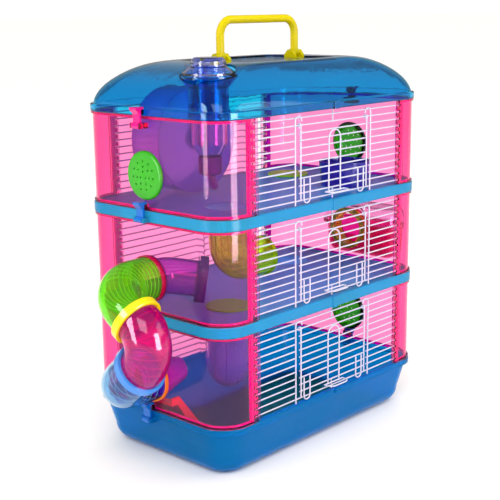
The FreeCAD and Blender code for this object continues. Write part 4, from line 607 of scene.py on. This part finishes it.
def long_rib_tree():
    """Thin ribs that run lengthwise along a tube's way, spaced round it."""
    tree, start, end = new_tree("long_ribs", [
        ("Ribs", "NodeSocketInt", 12), ("Tube Radius", "NodeSocketFloat", 0.022),
        ("Rib Radius", "NodeSocketFloat", 0.0006), ("Material", "NodeSocketMaterial", None)])
    curve = tree.nodes.new("GeometryNodeMeshToCurve")
    tree.links.new(start.outputs["Geometry"], curve.inputs["Mesh"])
    around = tree.nodes.new("GeometryNodeMeshCircle")
    tree.links.new(start.outputs["Ribs"], around.inputs["Vertices"])
    tree.links.new(start.outputs["Tube Radius"], around.inputs["Radius"])
    bead = add_node(tree, "GeometryNodeCurvePrimitiveCircle", Resolution=5)
    tree.links.new(start.outputs["Rib Radius"], bead.inputs["Radius"])
    spread = tree.nodes.new("GeometryNodeInstanceOnPoints")
    tree.links.new(around.outputs[0], spread.inputs["Points"])
    tree.links.new(bead.outputs[0], spread.inputs["Instance"])
    profile = tree.nodes.new("GeometryNodeRealizeInstances")
    tree.links.new(spread.outputs[0], profile.inputs[0])
    swept = tree.nodes.new("GeometryNodeCurveToMesh")
    swept.inputs["Fill Caps"].default_value = True
    tree.links.new(curve.outputs[0], swept.inputs["Curve"])
    tree.links.new(profile.outputs[0], swept.inputs["Profile Curve"])
    close_tree(tree, start, end, swept.outputs[0])
    return tree


def tooth_row_tree():
    """One upright row of teeth on each given foot point."""
    tree, start, end = new_tree("tooth_rows", [
        ("Teeth", "NodeSocketInt", 11), ("Pitch", "NodeSocketFloat", 0.0093),
        ("Tooth", "NodeSocketObject", None), ("Material", "NodeSocketMaterial", None)])
    row = tree.nodes.new("GeometryNodeMeshLine")
    step = tree.nodes.new("ShaderNodeCombineXYZ")
    tree.links.new(start.outputs["Pitch"], step.inputs["Z"])
    tree.links.new(start.outputs["Teeth"], row.inputs["Count"])
    tree.links.new(step.outputs[0], row.inputs["Offset"])
    rows = tree.nodes.new("GeometryNodeInstanceOnPoints")
    tree.links.new(start.outputs["Geometry"], rows.inputs["Points"])
    tree.links.new(row.outputs[0], rows.inputs["Instance"])
    feet = tree.nodes.new("GeometryNodeRealizeInstances")
    tree.links.new(rows.outputs[0], feet.inputs[0])
    tooth = tree.nodes.new("GeometryNodeObjectInfo")
    tree.links.new(start.outputs["Tooth"], tooth.inputs["Object"])
    placed = tree.nodes.new("GeometryNodeInstanceOnPoints")
    tree.links.new(feet.outputs[0], placed.inputs["Points"])
    tree.links.new(tooth.outputs["Geometry"], placed.inputs["Instance"])
    close_tree(tree, start, end, placed.outputs[0])
    return tree


def rung_tree():
    """Rungs round the inside of the wheel's rim, along Y."""
    tree, start, end = new_tree("wheel_rungs", [
        ("Rungs", "NodeSocketInt", 36), ("Rim Radius", "NodeSocketFloat", 0.06),
        ("Rung Radius", "NodeSocketFloat", 0.0008), ("Rung Length", "NodeSocketFloat", 0.04),
        ("Centre", "NodeSocketVector", (0, 0, 0)), ("Material", "NodeSocketMaterial", None)])
    rim = tree.nodes.new("GeometryNodeMeshCircle")
    tree.links.new(start.outputs["Rungs"], rim.inputs["Vertices"])
    tree.links.new(start.outputs["Rim Radius"], rim.inputs["Radius"])
    rung = add_node(tree, "GeometryNodeMeshCylinder", Vertices=8)
    tree.links.new(start.outputs["Rung Radius"], rung.inputs["Radius"])
    tree.links.new(start.outputs["Rung Length"], rung.inputs["Depth"])
    placed = tree.nodes.new("GeometryNodeInstanceOnPoints")
    tree.links.new(rim.outputs[0], placed.inputs["Points"])
    tree.links.new(rung.outputs[0], placed.inputs["Instance"])
    stood = tree.nodes.new("GeometryNodeTransform")
    stood.inputs["Rotation"].default_value = (math.radians(90), 0, 0)
    tree.links.new(placed.outputs[0], stood.inputs["Geometry"])
    tree.links.new(start.outputs["Centre"], stood.inputs["Translation"])
    close_tree(tree, start, end, stood.outputs[0])
    return tree


RIB_RINGS = rib_ring_tree()
LONG_RIBS = long_rib_tree()


# The small pieces

def mesh_from(shape, name):
    """Turn a shape under work into a mesh, and let go of the shape."""
    mesh = bpy.data.meshes.new(name)
    shape.to_mesh(mesh)
    shape.free()
    return mesh


def bevelled_block(name, size, round_off):
    """A small moulded block about the origin, with its edges taken off."""
    shape = bmesh.new()
    bmesh.ops.create_cube(shape, size=1.0)
    bmesh.ops.scale(shape, vec=Vector(size), verts=shape.verts)
    bmesh.ops.bevel(shape, geom=shape.edges[:], offset=round_off, segments=2, affect="EDGES")
    return mesh_from(shape, name)


def make_seam_teeth():
    """Deep pink teeth between the wire ends, on the end panels' four upright edges."""
    block = bevelled_block("seam_tooth", [size * MM for size in TOOTH_SIZE], TOOTH_ROUNDING * MM)
    tooth = bpy.data.objects.new("seam_tooth_plan", block)
    bpy.context.scene.collection.objects.link(tooth)
    feet = [(x * MM, y * MM, base + FIRST_TOOTH_UP * MM) for base in STOREY_BASE
            for x in (-TOOTH_X, TOOTH_X) for y in (-TOOTH_Y, TOOTH_Y)]
    mesh = grow(tooth_row_tree(), points_mesh("seam_teeth", feet),
                {"Teeth": TEETH_IN_ROW, "Pitch": TOOTH_PITCH * MM, "Tooth": tooth,
                 "Material": FINISHES["panel_seam"]})
    bpy.data.objects.remove(tooth)
    keep("seam_teeth", mesh, "panel_seam")


def swept_bar(shape, way, inner, outer, low, high):
    """Add a bar of rectangular section along a level way, offset towards its left."""
    rings = []
    for index, point in enumerate(way):
        before, after = way[max(index - 1, 0)], way[min(index + 1, len(way) - 1)]
        ahead = (after - before).normalized()
        left = Vector((-ahead.y, ahead.x, 0))
        rings.append([shape.verts.new((*(point + left * side).xy, up))
                      for side, up in ((inner, low), (outer, low), (outer, high), (inner, high))])
    for first, second in zip(rings, rings[1:]):
        for corner in range(4):
            following = (corner + 1) % 4
            shape.faces.new((first[corner], first[following], second[following], second[corner]))
    shape.faces.new(rings[0][::-1])
    shape.faces.new(rings[-1])


def straight_way(start_x, end_x, y):
    """A level line along X. Takes millimetres, gives metres."""
    return [Vector((start_x * MM, y * MM, 0)), Vector((end_x * MM, y * MM, 0))]


def mesh_of_bars(shape, name):
    """The mesh of all bars in a shape, with their faces turned outwards."""
    bmesh.ops.recalc_face_normals(shape, faces=shape.faces[:])
    return mesh_from(shape, name)


def make_panel_edges():
    """The thick deep pink edges inside the end panels: rims and upright seams."""
    shape = bmesh.new()
    for base in STOREY_BASE:
        for side in (-1, 1):
            near, far = side * SEAM_END_X, side * PANEL_INNER_X
            corners = [(near, -PANEL_INNER_Y, 0), (far, -PANEL_INNER_Y, 0),
                       (far, PANEL_INNER_Y, 0), (near, PANEL_INNER_Y, 0)]
            way = rounded_way(corners, PANEL_CORNER_RADIUS, PANEL_CORNER_STEPS)
            for low, high in RIM_LEVELS:
                swept_bar(shape, way, 0.0, side * RIM_THICK * MM, base + low * MM, base + high * MM)
            for front in (-1, 1):
                line = straight_way(side * SEAM_START_X, side * SEAM_END_X, front * PANEL_INNER_Y)
                swept_bar(shape, line, 0.0, -front * side * SEAM_THICK * MM,
                          base + PANEL_BOTTOM * MM, base + PANEL_TOP * MM)
    keep("panel_edges", mesh_of_bars(shape, "panel_edges"), "panel_seam")


def make_seam_flaps():
    """The thin clear lips that cover the wire ends beside each seam."""
    shape = bmesh.new()
    for base in STOREY_BASE:
        for side in (-1, 1):
            for front in (-1, 1):
                line = straight_way(side * FLAP_START_X, side * FLAP_END_X, front * FLAP_Y)
                swept_bar(shape, line, 0.0, front * side * FLAP_THICK * MM,
                          base + PANEL_BOTTOM * MM, base + PANEL_TOP * MM)
    keep("seam_flaps", mesh_of_bars(shape, "seam_flaps"), "panel_pink")


def make_tube_ribs(name, finish, corners, bend, ribs, radius, thick, span=(0.0, 1.0), lengthwise=False):
    """Ribs moulded inside a tube, either round it or along it."""
    values = {"Ribs": ribs, "Tube Radius": radius * MM, "Rib Radius": thick * MM,
              "From": span[0], "To": span[1], "Material": RIB_FINISHES[finish]}
    line = points_mesh(name, rounded_way(corners, bend), joined=True)
    mesh = grow(LONG_RIBS if lengthwise else RIB_RINGS, line, values)
    keep(name, mesh, finish, surface=RIB_FINISHES[finish])


def make_wheel_rungs():
    """The rungs that the animal runs on, inside the wheel's rim."""
    low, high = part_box("exercise_wheel")
    middle = (Vector(low) + Vector(high)) / 2
    radius = (high[2] - low[2]) / 2
    deep = high[1] - low[1]
    mesh = grow(rung_tree(), points_mesh("wheel_rungs", [(0, 0, 0)]),
                {"Rungs": RUNG_COUNT, "Rim Radius": radius - RUNG_INSET * MM,
                 "Rung Radius": RUNG_RADIUS * MM, "Rung Length": deep - RUNG_END_GAPS * MM,
                 "Centre": (middle.x, middle.y, middle.z), "Material": FINISHES["wheel_blue"]})
    keep("wheel_rungs", mesh, "wheel_blue", body="wheel")


make_seam_teeth()
make_panel_edges()
make_seam_flaps()
for tube in RIBBED_TUBES:
    make_tube_ribs(**tube)
make_wheel_rungs()


# Floor, light and camera; places and sizes are in metres

FLOOR_HALF = 60.0
PAPER_LIGHT = (1.0, 0.95, 0.91, 1)
PAPER_DARK = (0.95, 0.9, 0.86, 1)
PAPER_GRAIN = 0.03

# The photograph's camera: its angles in degrees, its place, its focal length and its picture in pixels
CAMERA_TURN = 47.324
CAMERA_TILT = 12.885
CAMERA_ROLL = -0.69
CAMERA_PLACE = (-1.0548, -0.9528, 0.5674)
FOCAL_PIXELS = 1063.8
PICTURE_PIXELS = 500
SENSOR_WIDTH = 36.0


def make_floor():
    """A sheet of pale paper, far larger than the cage."""
    mesh = bpy.data.meshes.new("studio_floor")
    corners = [(x * FLOOR_HALF, y * FLOOR_HALF, 0) for x, y in ((-1, -1), (1, -1), (1, 1), (-1, 1))]
    mesh.from_pydata(corners, [], [(0, 1, 2, 3)])
    floor = bpy.data.objects.new("studio_floor", mesh)
    bpy.context.scene.collection.objects.link(floor)
    material, tree, shader = new_material("pale_paper")
    grain = add_node(tree, "ShaderNodeTexNoise", Scale=40.0, Detail=4.0)
    place = add_node(tree, "ShaderNodeTexCoord")
    tree.links.new(place.outputs["Object"], grain.inputs["Vector"])
    amount = arithmetic(tree, "MULTIPLY", grain.outputs["Fac"], PAPER_GRAIN)
    tree.links.new(mixed_colour(tree, amount, PAPER_LIGHT, PAPER_DARK), shader.inputs["Base Color"])
    shader.inputs["Roughness"].default_value = 0.9
    mesh.materials.append(material)


def make_light(name, at, aim, size, power, only_mirrored=False):
    """A soft rectangular lamp; one that is only mirrored does not light matt surfaces."""
    data = bpy.data.lights.new(name, "AREA")
    data.shape = "RECTANGLE"
    data.size, data.size_y = size
    data.energy = power
    light = bpy.data.objects.new(name, data)
    bpy.context.scene.collection.objects.link(light)
    light.location = at
    light.rotation_euler = (Vector(aim) - Vector(at)).to_track_quat("-Z", "Y").to_euler()
    if only_mirrored:
        light.visible_diffuse = False


def make_world(strength, mirrored):
    """A white surround, dimmer where it is only seen mirrored, as in a studio with a few lamps."""
    world = bpy.data.worlds.new("studio_surround")
    world.use_nodes = True
    tree = world.node_tree
    back = tree.nodes["Background"]
    back.inputs["Color"].default_value = WHITE
    ray = add_node(tree, "ShaderNodeLightPath")
    power = arithmetic(tree, "MULTIPLY_ADD", ray.outputs["Is Glossy Ray"], mirrored - strength, strength)
    tree.links.new(power, back.inputs["Strength"])
    bpy.context.scene.world = world


def make_camera():
    """The photograph's view, found by fitting points of known size."""
    turn, tilt, roll = math.radians(CAMERA_TURN), math.radians(CAMERA_TILT), math.radians(CAMERA_ROLL)
    ahead = Vector((math.sin(turn) * math.cos(tilt), math.cos(turn) * math.cos(tilt), -math.sin(tilt)))
    right = Vector((math.cos(turn), -math.sin(turn), 0))
    up = right.cross(ahead)
    level_right = right * math.cos(roll) + up * math.sin(roll)
    level_up = right * -math.sin(roll) + up * math.cos(roll)
    data = bpy.data.cameras.new("photo_view")
    data.sensor_fit = "HORIZONTAL"
    data.sensor_width = SENSOR_WIDTH
    data.lens = FOCAL_PIXELS / PICTURE_PIXELS * SENSOR_WIDTH
    data.clip_end = 100
    camera = bpy.data.objects.new("photo_view", data)
    bpy.context.scene.collection.objects.link(camera)
    turned = Matrix((level_right, level_up, -ahead)).transposed().to_4x4()
    camera.matrix_world = Matrix.Translation(CAMERA_PLACE) @ turned
    bpy.context.scene.camera = camera


make_floor()
make_world(strength=1.14, mirrored=0.4)
make_light("key_panel", at=(-1.9, -1.6, 2.2), aim=(0, 0, 0.25), size=(1.6, 1.6), power=40)
make_light("fill_panel", at=(1.6, -2.2, 1.4), aim=(0, 0, 0.3), size=(1.6, 1.2), power=15)
make_light("left_strip", at=(-2.0, 0.25, 0.7), aim=(-0.2, 0, 0.3), size=(0.6, 1.8), power=50,
           only_mirrored=True)
make_light("front_strip", at=(-0.05, -1.2, 0.36), aim=(-0.15, 0, 0.3), size=(0.5, 0.7), power=22,
           only_mirrored=True)
make_camera()
bpy.context.scene.view_settings.view_transform = "Standard"

bpy.context.view_layer.update()
